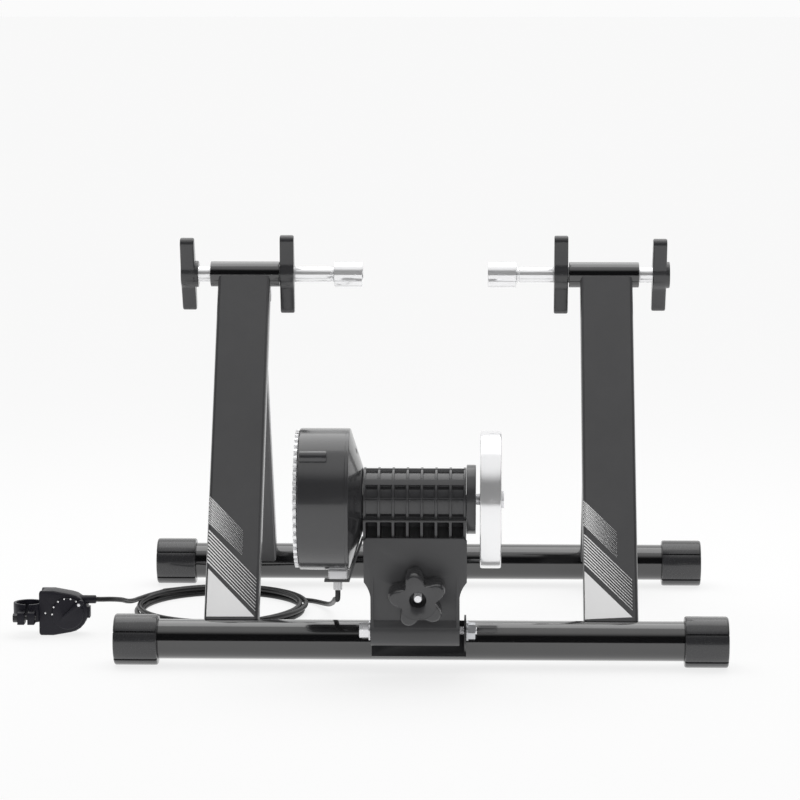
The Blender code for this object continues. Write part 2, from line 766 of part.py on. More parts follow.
def clamp(side_name, side):
    """One side's cup, spindle, clamp knob and lock knob."""
    frame = along_x(0.0, AXLE_HEIGHT)
    cup_body = "axle_cup_" + side_name
    spindle_body = "spindle_turn_" + side_name
    lock_body = "lock_turn_" + side_name
    back = CUP_INNER_X + CUP_LENGTH
    profile = [
        (0.0, CUP_INNER_X + CUP_SOCKET_DEPTH),
        (CUP_SOCKET_RADIUS, CUP_INNER_X + CUP_SOCKET_DEPTH),
        (CUP_SOCKET_RADIUS, CUP_INNER_X),
        (CUP_RADIUS - 0.0008, CUP_INNER_X),
        (CUP_RADIUS, CUP_INNER_X + 0.0008),
        (CUP_RADIUS, back - 0.0008),
        (CUP_RADIUS - 0.0008, back),
        (SPIGOT_RADIUS + GAP, back),
        (SPIGOT_RADIUS + GAP, back - SPIGOT_LENGTH),
        (0.0, back - SPIGOT_LENGTH),
    ]
    form = turned([(radius, side * x) for radius, x in profile], frame, 28)
    shape("cup_" + side_name, form, cup_body, "chrome")
    knob_low = OUTER_KNOB_LEFT_X if side < 0 else OUTER_KNOB_RIGHT_X
    if side < 0:
        far_end = -(knob_low + KNOB_END_WALL + GAP)
        bore = (knob_low + KNOB_END_WALL, knob_low + KNOB_THICKNESS + KNOB_BOSS_LENGTH + 0.002)
    else:
        far_end = knob_low + KNOB_THICKNESS - GAP
        bore = (knob_low - 0.002, knob_low + KNOB_THICKNESS)
    profile = [
        (0.0, back - SPIGOT_LENGTH + GAP),
        (SPIGOT_RADIUS, back - SPIGOT_LENGTH + GAP),
        (SPIGOT_RADIUS, back + GAP),
        (SPINDLE_RADIUS, back + GAP),
        (SPINDLE_RADIUS, far_end),
        (0.0, far_end),
    ]
    form = turned([(radius, side * x) for radius, x in profile], frame, 24)
    shape("spindle_" + side_name, form, spindle_body, "chrome")
    name = "clamp_knob_" + side_name
    winged_knob(name, spindle_body, knob_low, OUTER_KNOB_TURN, *bore, True)
    low = min(spread(side, LOCK_KNOB_INNER_X, LOCK_KNOB_INNER_X + KNOB_THICKNESS))
    bore = (low - 0.002, low + KNOB_THICKNESS + 0.002)
    winged_knob("lock_knob_" + side_name, lock_body, low, LOCK_KNOB_TURN, *bore, False)


# Tilting unit: pivot, bracket and tension screw


def plate_side():
    """Across the moving bracket: u comes out of its front, v runs up it, w is +X."""
    plate = plate_frame()
    columns = [plate.col[2], plate.col[1], plate.col[0], plate.col[3]]
    return Matrix([[column[row] for column in columns] for row in range(4)])


def clevis_place(along, out):
    """A (y, z) place by the rear tube: out towards the pivot, then up along the tangent."""
    bar = Vector((REAR_Y, BAR_HEIGHT))
    toward = (Vector((PIVOT_Y, PIVOT_Z)) - bar).normalized()
    tangent = Vector((toward[1], -toward[0]))
    place = bar + toward * out + tangent * along
    return (place[0], place[1])


def pivot_clevis():
    """The bent plate welded to the rear tube, with two ears and a tab for the stud."""
    seat = BAR_RADIUS + GAP
    toward = Vector((PIVOT_Y - REAR_Y, PIVOT_Z - BAR_HEIGHT)).normalized()
    foot_along = (CLEVIS_BOTTOM - clevis_place(0.0, seat)[1]) / -toward[0]
    outline = [
        clevis_place(foot_along, seat),
        clevis_place(foot_along, seat + CLEVIS_WALL),
        clevis_place(CLEVIS_UP, seat + CLEVIS_WALL),
        clevis_place(CLEVIS_UP, seat),
    ]
    form = prism(outline, CLEVIS_LEFT, CLEVIS_RIGHT, along_x())
    clevis = shape("pivot_clevis", form, "rear_frame", "black_paint")
    inner = seat + CLEVIS_WALL / 2
    left_low = BRACKET_LEFT + BRACKET_WALL + GAP
    circles = [(PIVOT_Y, PIVOT_Z, CLEVIS_LEFT_EAR_RADIUS)]
    circles += [(*clevis_place(along, inner), 0.0) for along in (-0.002, 0.010)]
    join(
        clevis,
        prism(hull(circles), left_low, left_low + CLEVIS_EAR_WALL, along_x()),
        "rear_frame",
    )
    circles = [(PIVOT_Y, PIVOT_Z, CLEVIS_RIGHT_EAR_RADIUS)]
    for along in (foot_along + CLEVIS_CORNER, CLEVIS_UP):
        circles.append((*clevis_place(along, inner), 0.0))
    join(
        clevis,
        prism(hull(circles), CLEVIS_RIGHT - CLEVIS_EAR_WALL, CLEVIS_RIGHT, along_x()),
        "rear_frame",
    )
    tab = hull(
        [
            (TENSION_X, STUD_ALONG, TAB_HALF_WIDTH),
            (TENSION_X - TAB_HALF_WIDTH, TAB_FOOT, 0.0),
            (TENSION_X + TAB_HALF_WIDTH, TAB_FOOT, 0.0),
        ]
    )
    form = prism(tab, -TAB_BEHIND - CLEVIS_WALL, -TAB_BEHIND, plate_frame())
    join(clevis, form, "rear_frame")
    reach = FOOT_OUTER_X
    bar = rod(seat, -reach, reach, along_x(REAR_Y, BAR_HEIGHT), 36)
    cut(clevis, bar, "rear_frame")
    bolt = rod(PIVOT_BOLT_RADIUS + GAP, -reach, reach, along_x(PIVOT_Y, PIVOT_Z), 20)
    cut(clevis, bolt, "rear_frame")
    stud = rod(STUD_RADIUS + GAP, -TAB_BEHIND - 0.01, -TAB_BEHIND + 0.01, plate_at_stud(), 20)
    cut(clevis, stud, "rear_frame")


def plate_at_stud():
    """The plate's frame, moved onto the tension stud's axis."""
    return plate_frame() @ Matrix.Translation((TENSION_X, STUD_ALONG, 0))


def pivot_fasteners():
    """The long bolt through clevis and bracket, with its washers and nut."""
    frame = along_x(PIVOT_Y, PIVOT_Z)
    washer = BRACKET_LEFT - GAP
    under_head = washer - PIVOT_WASHER
    head_end = under_head - PIVOT_HEAD_LENGTH
    form = rod(PIVOT_BOLT_RADIUS, under_head - 0.002, PIVOT_BOLT_RIGHT, frame, 20, 0.0007)
    bolt = shape("pivot_bolt", form, "rear_frame", "zinc")
    join(bolt, rod(PIVOT_WASHER_RADIUS, under_head, washer, frame, 24), "rear_frame")
    join(bolt, hexagon(PIVOT_HEX, head_end, under_head + 0.0005, frame, 0.25), "rear_frame")
    start = CLEVIS_RIGHT + GAP
    form = rod(PIVOT_WASHER_RADIUS, start, start + PIVOT_WASHER, frame, 24)
    nut = shape("pivot_nut", form, "rear_frame", "zinc")
    join(nut, hexagon(PIVOT_HEX, start + 0.001, PIVOT_NUT_RIGHT, frame, 0.1), "rear_frame")
    bore = rod(PIVOT_BOLT_RADIUS + GAP, start - 0.002, PIVOT_NUT_RIGHT + 0.002, frame, 20)
    cut(nut, bore, "rear_frame")


def bracket_outline(bottom):
    """The plate seen square on: narrow at the roll, then flaring to the housing's width."""
    edge = []
    for step in range(7):
        share = step / 6
        height = BRACKET_NARROW_TO + (BRACKET_WIDE_FROM - BRACKET_NARROW_TO) * share
        edge.append((share**2, height))
    right = [(BRACKET_RIGHT + (BRACKET_WIDE_RIGHT - BRACKET_RIGHT) * f, v) for f, v in edge]
    left = [(BRACKET_LEFT + (BRACKET_WIDE_LEFT - BRACKET_LEFT) * f, v) for f, v in edge]
    corner = 0.003
    top = [
        (BRACKET_WIDE_RIGHT, BRACKET_TOP - corner),
        (BRACKET_WIDE_RIGHT - corner, BRACKET_TOP),
        (BRACKET_WIDE_LEFT + corner, BRACKET_TOP),
        (BRACKET_WIDE_LEFT, BRACKET_TOP - corner),
    ]
    return [(BRACKET_RIGHT, bottom)] + right + top + left[::-1] + [(BRACKET_LEFT, bottom)]


def unit_bracket():
    """The pressed bracket: a plate, its rolled lower edge and two side flanges."""
    body = "resistance_unit"
    bottom = ROLL_RADIUS - BRACKET_WALL
    back = BRACKET_FRONT - BRACKET_WALL
    form = prism(bracket_outline(bottom), back, BRACKET_FRONT, plate_frame())
    bracket = shape("unit_bracket", form, body, "bracket_black")
    profile = [
        (ROLL_RADIUS - BRACKET_WALL, BRACKET_LEFT),
        (ROLL_RADIUS, BRACKET_LEFT),
        (ROLL_RADIUS, BRACKET_RIGHT),
        (ROLL_RADIUS - BRACKET_WALL, BRACKET_RIGHT),
    ]
    into_plate = math.acos((back + 0.0006) / ROLL_RADIUS)
    sweep = into_plate - ROLL_END_ANGLE
    join(bracket, turned(profile, plate_side(), 20, ROLL_END_ANGLE, sweep), body)
    outline = hull(
        [
            (0.0, 0.0, ROLL_RADIUS - BRACKET_WALL / 2),
            (BRACKET_FRONT - 0.001, FLANGE_TOP, 0.0),
            (-FLANGE_BACK + 0.004, FLANGE_TOP - 0.008, 0.0),
            (-FLANGE_BACK, FLANGE_TOP - 0.024, 0.0),
        ]
    )
    for low in (BRACKET_LEFT, BRACKET_RIGHT - BRACKET_WALL):
        join(bracket, prism(outline, low, low + BRACKET_WALL, plate_side()), body)
    hole = rod(
        PIVOT_BOLT_RADIUS + GAP,
        BRACKET_LEFT - 0.003,
        BRACKET_RIGHT + 0.003,
        along_x(PIVOT_Y, PIVOT_Z),
        20,
    )
    cut(bracket, hole, body)
    slot = hull(
        [
            (TENSION_X, STUD_ALONG + SLOT_LOW, SLOT_RADIUS),
            (TENSION_X, STUD_ALONG + SLOT_HIGH, SLOT_RADIUS),
        ],
        20,
    )
    cut(bracket, prism(slot, back - 0.002, BRACKET_FRONT + 0.002, plate_frame()), body)


def tension_parts():
    """The fixed stud, and the washer and star knob that bear on the bracket."""
    frame = plate_at_stud()
    head_top = -TAB_BEHIND - CLEVIS_WALL - GAP
    form = rod(STUD_RADIUS, head_top - 0.001, STUD_END, frame, 20, 0.0006)
    stud = shape("tension_stud", form, "rear_frame", "zinc")
    join(stud, rod(STUD_HEAD_RADIUS, head_top - STUD_HEAD, head_top, frame, 24), "rear_frame")
    low = BRACKET_FRONT + GAP
    form = tube(STUD_RADIUS + GAP, WASHER_RADIUS, low, low + WASHER_THICKNESS, frame, 24)
    shape("tension_washer", form, "tension_washer", "zinc")
    points = STAR_LOBES * 8
    outline = []
    for step in range(points):
        angle = 2 * math.pi * step / points
        radius = STAR_MIDDLE + (STAR_TIP - STAR_MIDDLE) * math.cos(STAR_LOBES * angle)
        outline.append((radius * math.cos(angle), radius * math.sin(angle)))
    outline = turned_outline(outline, STAR_TURN)
    back = STAR_FACE - STAR_THICKNESS
    form = prism(outline, back, STAR_FACE, frame)
    knob = shape("tension_knob", form, "tension_knob", "knob_plastic")
    soften(knob, 0.0022, 1)
    seat = low + WASHER_THICKNESS + GAP
    join(knob, rod(STAR_COLLAR_RADIUS, seat, back + 0.004, frame, 24), "tension_knob")
    bore = rod(STUD_RADIUS + GAP, seat - 0.002, STAR_FACE - 0.002, frame, 20)
    cut(knob, bore, "tension_knob")
    recess = rod(STAR_RECESS_RADIUS, STAR_FACE - STAR_RECESS_DEPTH, STAR_FACE + 0.002, frame, 24)
    cut(knob, recess, "tension_knob")


# Roller housing and what turns in it


def unit_frame():
    """Across the roller's axis: u is +Y, v is +Z, w is +X."""
    return along_x(UNIT_Y, UNIT_Z)


def housing_ribs():
    """The X places of the ring ribs, end ribs included."""
    pitch = (HOUSING_RIGHT - HOUSING_LEFT - RIB_WALL) / HOUSING_CELLS
    return [HOUSING_LEFT + RIB_WALL / 2 + pitch * index for index in range(HOUSING_CELLS + 1)]


def roller_housing():
    """The moulded half shell: ring ribs, long ribs, and a foot with deep windows."""
    body = "resistance_unit"
    ribs = housing_ribs()
    half = RIB_WALL / 2
    profile = [(HOUSING_BORE, HOUSING_LEFT)]
    for place in ribs:
        low = max(place - half, HOUSING_LEFT)
        high = min(place + half, HOUSING_RIGHT)
        if place != ribs[0]:
            profile.append((HOUSING_RADIUS, low))
        profile.append((HOUSING_RIB_RADIUS, low))
        profile.append((HOUSING_RIB_RADIUS, high))
        if place != ribs[-1]:
            profile.append((HOUSING_RADIUS, high))
    profile.append((HOUSING_BORE, HOUSING_RIGHT))
    sweep = 2 * math.pi - (OPENING_TO - OPENING_FROM)
    form = turned(profile, unit_frame(), 18, OPENING_TO, sweep)
    housing = shape("roller_housing", form, body, "housing_plastic")
    for height in LONG_RIB_HEIGHTS:
        reach = math.sqrt(HOUSING_RIB_RADIUS**2 - height**2)
        inward = math.sqrt((HOUSING_RADIUS - 0.001) ** 2 - height**2)
        low = (HOUSING_LEFT + half, UNIT_Y - reach, UNIT_Z + height - half)
        high = (HOUSING_RIGHT - half, UNIT_Y - inward, UNIT_Z + height + half)
        join(housing, block(low, high), body)
    rim = HOUSING_RIB_RADIUS * math.sin(OPENING_TO)
    low = (HOUSING_LEFT + half, UNIT_Y - 0.006, UNIT_Z + HOUSING_RADIUS - 0.002)
    high = (HOUSING_RIGHT - half, UNIT_Y - 0.0025, UNIT_Z + rim)
    join(housing, block(low, high), body)
    front = BRACKET_FRONT - BRACKET_WALL - GAP
    outline = (
        (front, SKIRT_BOTTOM),
        (front, SKIRT_TOP - 0.003),
        (front - 0.004, SKIRT_TOP),
        (SKIRT_BACK, SKIRT_TOP),
        (SKIRT_BACK, SKIRT_BOTTOM + 0.010),
        (SKIRT_BACK + 0.010, SKIRT_BOTTOM),
    )
    join(housing, prism(outline, HOUSING_LEFT, HOUSING_RIGHT, plate_side()), body)
    bore = rod(HOUSING_BORE, HOUSING_LEFT - 0.002, HOUSING_RIGHT + 0.002, unit_frame(), 24)
    cut(housing, bore, body)
    for left, right in zip(ribs, ribs[1:]):
        outline = (
            (left + half, WINDOW_LOW),
            (right - half, WINDOW_LOW),
            (right - half, WINDOW_HIGH),
            (left + half, WINDOW_HIGH),
        )
        window = prism(outline, front - WINDOW_DEPTH, front + 0.002, plate_frame())
        cut(housing, window, body)


def end_flange():
    """The right-hand cover, with the bearing's seat and a clearance hole for the shaft."""
    low = HOUSING_RIGHT + GAP
    seat = END_FLANGE_RIGHT - 0.0015
    profile = [
        (BEARING_RADIUS + GAP, low),
        (END_FLANGE_RADIUS, low),
        (END_FLANGE_RADIUS, END_FLANGE_RIGHT - 0.0012),
        (END_FLANGE_RADIUS - 0.0012, END_FLANGE_RIGHT),
        (SHAFT_RADIUS + RUN, END_FLANGE_RIGHT),
        (SHAFT_RADIUS + RUN, seat),
        (BEARING_RADIUS + GAP, seat),
    ]
    form = turned(profile, unit_frame(), 32)
    shape("end_flange", form, "resistance_unit", "housing_plastic")


def bearing(name, low):
    """A closed ball bearing as one ring, pressed on the housing's side."""
    form = turned(
        [
            (SHAFT_RADIUS + GAP, low),
            (BEARING_RADIUS - 0.0006, low),
            (BEARING_RADIUS, low + 0.0006),
            (BEARING_RADIUS, low + BEARING_WIDTH - 0.0006),
            (BEARING_RADIUS - 0.0006, low + BEARING_WIDTH),
            (SHAFT_RADIUS + GAP, low + BEARING_WIDTH),
        ],
        unit_frame(),
        24,
    )
    shape(name, form, "resistance_unit", "bearing_steel")


def drum_right():
    """Where the drum's cone meets the roller housing."""
    return HOUSING_LEFT - GAP


def left_bearing_low():
    """The left bearing stands inside the mouth of the drum's hub."""
    return drum_right() - DRUM_WALL - BEARING_WIDTH


def drum_casing():
    """The drum, open on its left, with a cone towards the roller and a hub inside."""
    body = "resistance_unit"
    end = drum_right()
    hub = DRUM_HUB_RADIUS
    profile = [
        (BEARING_RADIUS + GAP, DRUM_HUB_LEFT),
        (hub, DRUM_HUB_LEFT),
        (hub, end - 2 * DRUM_WALL),
        (DRUM_END_RADIUS - DRUM_WALL, end - 2 * DRUM_WALL),
        (DRUM_RADIUS - DRUM_WALL, DRUM_CONE_FROM - DRUM_WALL),
        (DRUM_RADIUS - DRUM_WALL, DRUM_LEFT),
        (DRUM_RADIUS - 0.001, DRUM_LEFT),
        (DRUM_RADIUS, DRUM_LEFT + 0.001),
        (DRUM_RADIUS, DRUM_CONE_FROM - 0.0015),
        (DRUM_RADIUS - 0.0015, DRUM_CONE_FROM),
        (DRUM_END_RADIUS, end - 0.0008),
        (DRUM_END_RADIUS, end),
        (SHAFT_RADIUS + RUN, end),
        (SHAFT_RADIUS + RUN, end - DRUM_WALL + GAP),
        (BEARING_RADIUS + GAP, end - DRUM_WALL + GAP),
    ]
    casing = shape("drum_casing", turned(profile, unit_frame(), 40), body, "housing_plastic")
    back = math.sqrt(DRUM_RADIUS**2 - BOSS_HEIGHT**2) - 0.001
    frame = along_x(UNIT_Y - back, UNIT_Z + BOSS_HEIGHT)
    join(casing, rod(BOSS_RADIUS, BOSS_LEFT, BOSS_RIGHT, frame, 16), body)
    wall = DRUM_RADIUS - DRUM_WALL
    inner = tube(wall - 0.008, wall, DRUM_LEFT - 0.001, BOSS_RIGHT + 0.002, unit_frame(), 40)
    cut(casing, inner, body)


def rotor():
    """Shaft, tyre roller, finned disc, flywheel and its nut."""
    frame = unit_frame()
    body = "rotor"
    form = rod(SHAFT_RADIUS, SHAFT_LEFT, SHAFT_RIGHT, frame, 24, 0.0006)
    shape("shaft", form, body, "bearing_steel")
    low = HOUSING_LEFT + ROLLER_END_PLAY
    high = HOUSING_RIGHT - ROLLER_END_PLAY
    form = turned(
        [
            (SHAFT_RADIUS + GAP, low),
            (ROLLER_RADIUS - 0.0015, low),
            (ROLLER_RADIUS, low + 0.0015),
            (ROLLER_RADIUS, high - 0.0015),
            (ROLLER_RADIUS - 0.0015, high),
            (SHAFT_RADIUS + GAP, high),
        ],
        frame,
        28,
    )
    shape("tyre_roller", form, body, "roller_rubber")
    finned_disc(body)
    flywheel(body)


def finned_disc(body):
    """The aluminium brake disc at the drum's mouth, with radial cooling fins."""
    high = DRUM_LEFT - DISC_PLAY
    outline = []
    for fin in range(DISC_FINS):
        for share, radius in (
            (0.0, DISC_RADIUS),
            (0.42, DISC_RADIUS),
            (0.5, DISC_RADIUS - DISC_FIN_DEPTH),
            (0.92, DISC_RADIUS - DISC_FIN_DEPTH),
        ):
            angle = 2 * math.pi * (fin + share) / DISC_FINS
            outline.append((radius * math.cos(angle), radius * math.sin(angle)))
    disc = shape("finned_disc", prism(outline, DISC_LEFT, high, unit_frame()), body, "cast_aluminium")
    hub_end = DRUM_HUB_LEFT - DISC_HUB_GAP
    join(disc, rod(DISC_HUB_RADIUS, DISC_LEFT - 0.002, hub_end, unit_frame(), 24), body)
    bore = rod(SHAFT_RADIUS + GAP, DISC_LEFT - 0.004, hub_end + 0.002, unit_frame(), 24)
    cut(disc, bore, body)


def flywheel(body):
    """A steel wheel, thinner between hub and rim, held by a thin nut on the shaft."""
    web_low = FLYWHEEL_LEFT + FLYWHEEL_DISH
    web_high = FLYWHEEL_RIGHT - FLYWHEEL_DISH
    rim = FLYWHEEL_RADIUS - FLYWHEEL_RIM
    edge = 0.0012
    profile = [
        (SHAFT_RADIUS + GAP, FLYWHEEL_LEFT),
        (FLYWHEEL_HUB_RADIUS, FLYWHEEL_LEFT),
        (FLYWHEEL_HUB_RADIUS + FLYWHEEL_DISH, web_low),
        (rim - FLYWHEEL_DISH, web_low),
        (rim, FLYWHEEL_LEFT),
        (FLYWHEEL_RADIUS - edge, FLYWHEEL_LEFT),
        (FLYWHEEL_RADIUS, FLYWHEEL_LEFT + edge),
        (FLYWHEEL_RADIUS, FLYWHEEL_RIGHT - edge),
        (FLYWHEEL_RADIUS - edge, FLYWHEEL_RIGHT),
        (rim, FLYWHEEL_RIGHT),
        (rim - FLYWHEEL_DISH, web_high),
        (FLYWHEEL_HUB_RADIUS + FLYWHEEL_DISH, web_high),
        (FLYWHEEL_HUB_RADIUS, FLYWHEEL_RIGHT),
        (SHAFT_RADIUS + GAP, FLYWHEEL_RIGHT),
    ]
    shape("flywheel", turned(profile, unit_frame(), 40), body, "flywheel_steel")
    low = FLYWHEEL_RIGHT + GAP
    nut = shape(
        "flywheel_nut", hexagon(FLYWHEEL_NUT, low, SHAFT_RIGHT, unit_frame()), body, "zinc"
    )
    bore = rod(SHAFT_RADIUS + GAP, low - 0.002, SHAFT_RIGHT + 0.002, unit_frame(), 24)
    cut(nut, bore, body)


def magnets(body):
    """The magnets' ring on its carrier, which the cable turns around the drum's hub."""
    frame = unit_frame()
    low = DRUM_HUB_LEFT + RUN
    high = low + CARRIER_WALL
    form = tube(DRUM_HUB_RADIUS + RUN, CARRIER_RADIUS, low, high, frame, 28)
    shape("magnet_carrier", form, body, "housing_plastic")
    low -= GAP
    form = tube(MAGNET_INNER_RADIUS, CARRIER_RADIUS, low - MAGNET_WALL, low, frame, 28)
    shape("magnet_ring", form, body, "magnet")


# Cable stop, cable and remote


def cable_stop():
    """The stop's block under the drum, its bent strip up to the cone, and the adjuster."""
    body = "resistance_unit"
    low_y = STOP_Y - STOP_WIDTH / 2
    high_y = STOP_Y + STOP_WIDTH / 2
    top = UNIT_Z - DRUM_RADIUS - GAP
    bottom = top - STOP_BLOCK_HEIGHT
    form = block((STOP_BLOCK_LEFT, low_y, bottom), (STOP_BLOCK_RIGHT, high_y, top))
    soften(shape("cable_stop_block", form, body, "grey_plastic"), 0.0012, 1)
    plate_top = bottom - GAP
    cone = Vector((drum_right() - DRUM_CONE_FROM, DRUM_RADIUS - DRUM_END_RADIUS))
    slope = cone.normalized()
    off = Vector((slope[1], -slope[0]))
    start = Vector((DRUM_CONE_FROM, UNIT_Z - DRUM_RADIUS)) + off * (GAP + 0.0003)
    lower = start + slope * 0.004
    upper = start + slope * (cone.length - STOP_STRIP_SHORT)
    outline = [
        (STOP_PLATE_LEFT, plate_top - STOP_PLATE),
        (STOP_BLOCK_RIGHT + 0.0016, plate_top - STOP_PLATE),
        tuple(lower + off * STOP_PLATE),
        tuple(upper + off * STOP_PLATE),
        tuple(upper),
        tuple(lower),
        (STOP_BLOCK_RIGHT + 0.0006, plate_top),
        (STOP_PLATE_LEFT, plate_top),
    ]
    frame = facing_rider(0.0, STOP_Y, 0.0)
    form = prism(outline, -STOP_WIDTH / 2, STOP_WIDTH / 2, frame)
    strip = shape("cable_stop_bracket", form, body, "bracket_black")
    axis = along_z(ADJUSTER_X, STOP_Y)
    reach = plate_top + 0.004
    cut(strip, rod(0.003, plate_top - 0.01, reach, axis, 20), body)
    adjuster_top = plate_top - STOP_PLATE - GAP
    form = turned(
        [
            (0.0, adjuster_top - ADJUSTER_LENGTH),
            (ADJUSTER_RADIUS - 0.0008, adjuster_top - ADJUSTER_LENGTH),
            (ADJUSTER_RADIUS, adjuster_top - ADJUSTER_LENGTH + 0.0008),
            (ADJUSTER_RADIUS, adjuster_top),
            (0.0026, adjuster_top),
            (0.0026, plate_top - GAP),
            (0.0, plate_top - GAP),
        ],
        axis,
        20,
    )
    shape("cable_adjuster", form, body, "grey_plastic")
    return adjuster_top - ADJUSTER_LENGTH


def remote_frame():
    """The remote's dial seen from the rear, on its middle plane."""
    return facing_rider(0.0, REMOTE_Y, 0.0)


def remote_body():
    """The remote's case: a tall block beside the round dial, a lug and the cable's outlet."""
    body = "rear_frame"
    corner = 0.0035
    high = 2 * BLOCK_HALF_HEIGHT - corner
    outline = hull(
        [
            (BLOCK_LEFT + corner, corner, corner),
            (BLOCK_LEFT + corner, high, corner),
            (BLOCK_RIGHT - corner, corner, corner),
            (BLOCK_RIGHT - corner, high, corner),
            (DIAL_X, REMOTE_Z, DIAL_RADIUS),
        ],
        22,
    )
    frame = remote_frame()
    form = prism(outline, -BODY_BACK, BODY_FRONT, frame)
    case = shape("remote_body", form, body, "remote_plastic")
    soften(case, 0.0012, 1)
    lug_low = (DIAL_X + DIAL_RADIUS - 0.004, REMOTE_Y - 0.004, REMOTE_Z - LUG_HALF_HEIGHT)
    lug_high = (LUG_X, REMOTE_Y + 0.006, REMOTE_Z + LUG_HALF_HEIGHT)
    join(case, block(lug_low, lug_high), body)
    outlet = along_x(OUTLET_Y, OUTLET_Z)
    join(case, rod(OUTLET_RADIUS, OUTLET_START_X, OUTLET_X, outlet, 16, 0.0008), body)
    saddle = rod(BAND_RADIUS + GAP, -0.01, 2 * BLOCK_HALF_HEIGHT + 0.01, band_frame(), 28)
    cut(case, saddle, body)
    pin = rod(LEVER_PIN_RADIUS + GAP, BODY_FRONT - LEVER_PIN_LENGTH, BODY_FRONT + 0.01, dial_frame(), 20)
    cut(case, pin, body)


def band_frame():
    """The handlebar's axis in the remote's clamp."""
    return along_z(BAND_X, BAND_Y)


def dial_frame():
    """The dial's axis, with w towards the rider."""
    return facing_rider(DIAL_X, REMOTE_Y, REMOTE_Z)


def remote_clamp():
    """The split band around the handlebar, with two ears and their bolt."""
    body = "rear_frame"
    clamp_band = shape(
        "remote_clamp",
        rod(BAND_RADIUS, BAND_LOW, BAND_HIGH, band_frame(), 28),
        body,
        "remote_plastic",
    )
    ears = block(
        (BAND_X - EAR_HALF_SPAN, BAND_Y - EAR_REACH, BAND_LOW),
        (BAND_X + EAR_HALF_SPAN, BAND_Y - 0.9 * BAND_BORE, BAND_LOW + EAR_HEIGHT),
    )
    join(clamp_band, ears, body)
    cut(clamp_band, rod(BAND_BORE, BAND_LOW - 0.01, BAND_HIGH + 0.01, band_frame(), 28), body)
    split = block(
        (BAND_X - EAR_GAP / 2, BAND_Y - EAR_REACH - 0.002, BAND_LOW - 0.002),
        (BAND_X + EAR_GAP / 2, BAND_Y, BAND_HIGH + 0.002),
    )
    cut(clamp_band, split, body)
    axis = along_x(BAND_Y - EAR_REACH + EAR_BOLT_IN, BAND_LOW + EAR_HEIGHT / 2)
    low = BAND_X - EAR_HALF_SPAN
    high = BAND_X + EAR_HALF_SPAN
    cut(clamp_band, rod(CLAMP_BOLT_RADIUS + GAP, low - 0.002, high + 0.002, axis, 16), body)
    form = rod(CLAMP_BOLT_RADIUS, low - 0.002, high + 0.0012, axis, 16)
    bolt = shape("remote_clamp_bolt", form, body, "bracket_black")
    head = hexagon(0.0078, low - GAP - CLAMP_HEAD, low - GAP, axis, 0.4)
    join(bolt, head, body)


def remote_lever():
    """The dial's disc, its raised ridge and the pin that carries it."""
    body = "remote_lever"
    low = BODY_FRONT + GAP
    form = rod(LEVER_HUB_RADIUS, low, low + LEVER_DISC, dial_frame(), 28, 0.0008)
    lever = shape("remote_lever", form, body, "remote_plastic")
    ridge = hull(
        [
            (-LEVER_TAIL * math.cos(LEVER_TURN), -LEVER_TAIL * math.sin(LEVER_TURN), 0.0012),
            (LEVER_REACH * math.cos(LEVER_TURN), LEVER_REACH * math.sin(LEVER_TURN), 0.0030),
        ],
        16,
    )
    join(lever, prism(ridge, low + 0.001, low + LEVER_THICKNESS, dial_frame()), body)
    pin = rod(LEVER_PIN_RADIUS, low - LEVER_PIN_LENGTH + 0.001, low + 0.001, dial_frame(), 20)
    join(lever, pin, body)


def smooth_route(points, spacing):
    """Even points on a smooth curve through the chosen ones, with straight ends."""
    dense = []
    for index in range(1, len(points) - 2):
        before, start, end, after = points[index - 1 : index + 3]
        for step in range(24):
            t = step / 24
            dense.append(
                0.5
                * (
                    2 * start
                    + (end - before) * t
                    + (2 * before - 5 * start + 4 * end - after) * t**2
                    + (3 * start - before - 3 * end + after) * t**3
                )
            )
    dense.append(points[-2])
    total = sum((b - a).length for a, b in zip(dense, dense[1:]))
    count = max(2, round(total / spacing))
    route = [dense[0]]
    walked = 0.0
    for start, end in zip(dense, dense[1:]):
        step = (end - start).length
        while len(route) < count and walked + step >= total * len(route) / count:
            share = (total * len(route) / count - walked) / step
            route.append(start + (end - start) * share)
        walked += step
    return [points[0]] + route + [dense[-1], points[-1]]


def cord(name, route, resolution):
    """A cable piece as a round tube with closed ends."""
    curve = bpy.data.curves.new(name, "CURVE")
    curve.dimensions = "3D"
    curve.bevel_depth = CABLE_RADIUS
    curve.bevel_resolution = resolution
    curve.use_fill_caps = True
    line = curve.splines.new("POLY")
    line.points.add(len(route) - 1)
    for point, place in zip(line.points, route):
        point.co = (*(place - ORIGINS["rear_frame"]), 1.0)
    made = bpy.data.objects.new(name, curve)
    bpy.context.scene.collection.objects.link(made)
    made.parent = EMPTIES["rear_frame"]
    curve.materials.append(MATERIALS["cable_rubber"])


def coil_route():
    """Loops that spiral in on the floor, climb one layer, and spiral out again."""
    turns = COIL_TURNS
    steps = round(turns * COIL_STEPS)
    route = []
    for step in range(steps + 1):
        turn = turns * step / steps
        inward = turns / 2 - abs(turn - turns / 2)
        radius = COIL_RADIUS - COIL_PITCH * inward
        share = min(1.0, max(0.0, (turn - turns / 2) / 0.5 + 0.5))
        height = COIL_LOW + COIL_LAYER * share * share * (3 - 2 * share)
        angle = COIL_START + 2 * math.pi * turn
        route.append(
            Vector((COIL_X + radius * math.cos(angle), COIL_Y + radius * math.sin(angle), height))
        )
    first = (route[0] - route[1]).normalized() * 2 * CABLE_RADIUS
    last = (route[-1] - route[-2]).normalized() * 2 * CABLE_RADIUS
    return [route[0] + first] + route + [route[-1] + last]


def least_gap(route):
    """The least clearance of a wound tube to itself, measured between its points."""
    least = 1.0
    skip = COIL_STEPS // 3
    for index, place in enumerate(route):
        for other in route[index + skip :]:
            least = min(least, (place - other).length)
    return least - 2 * CABLE_RADIUS


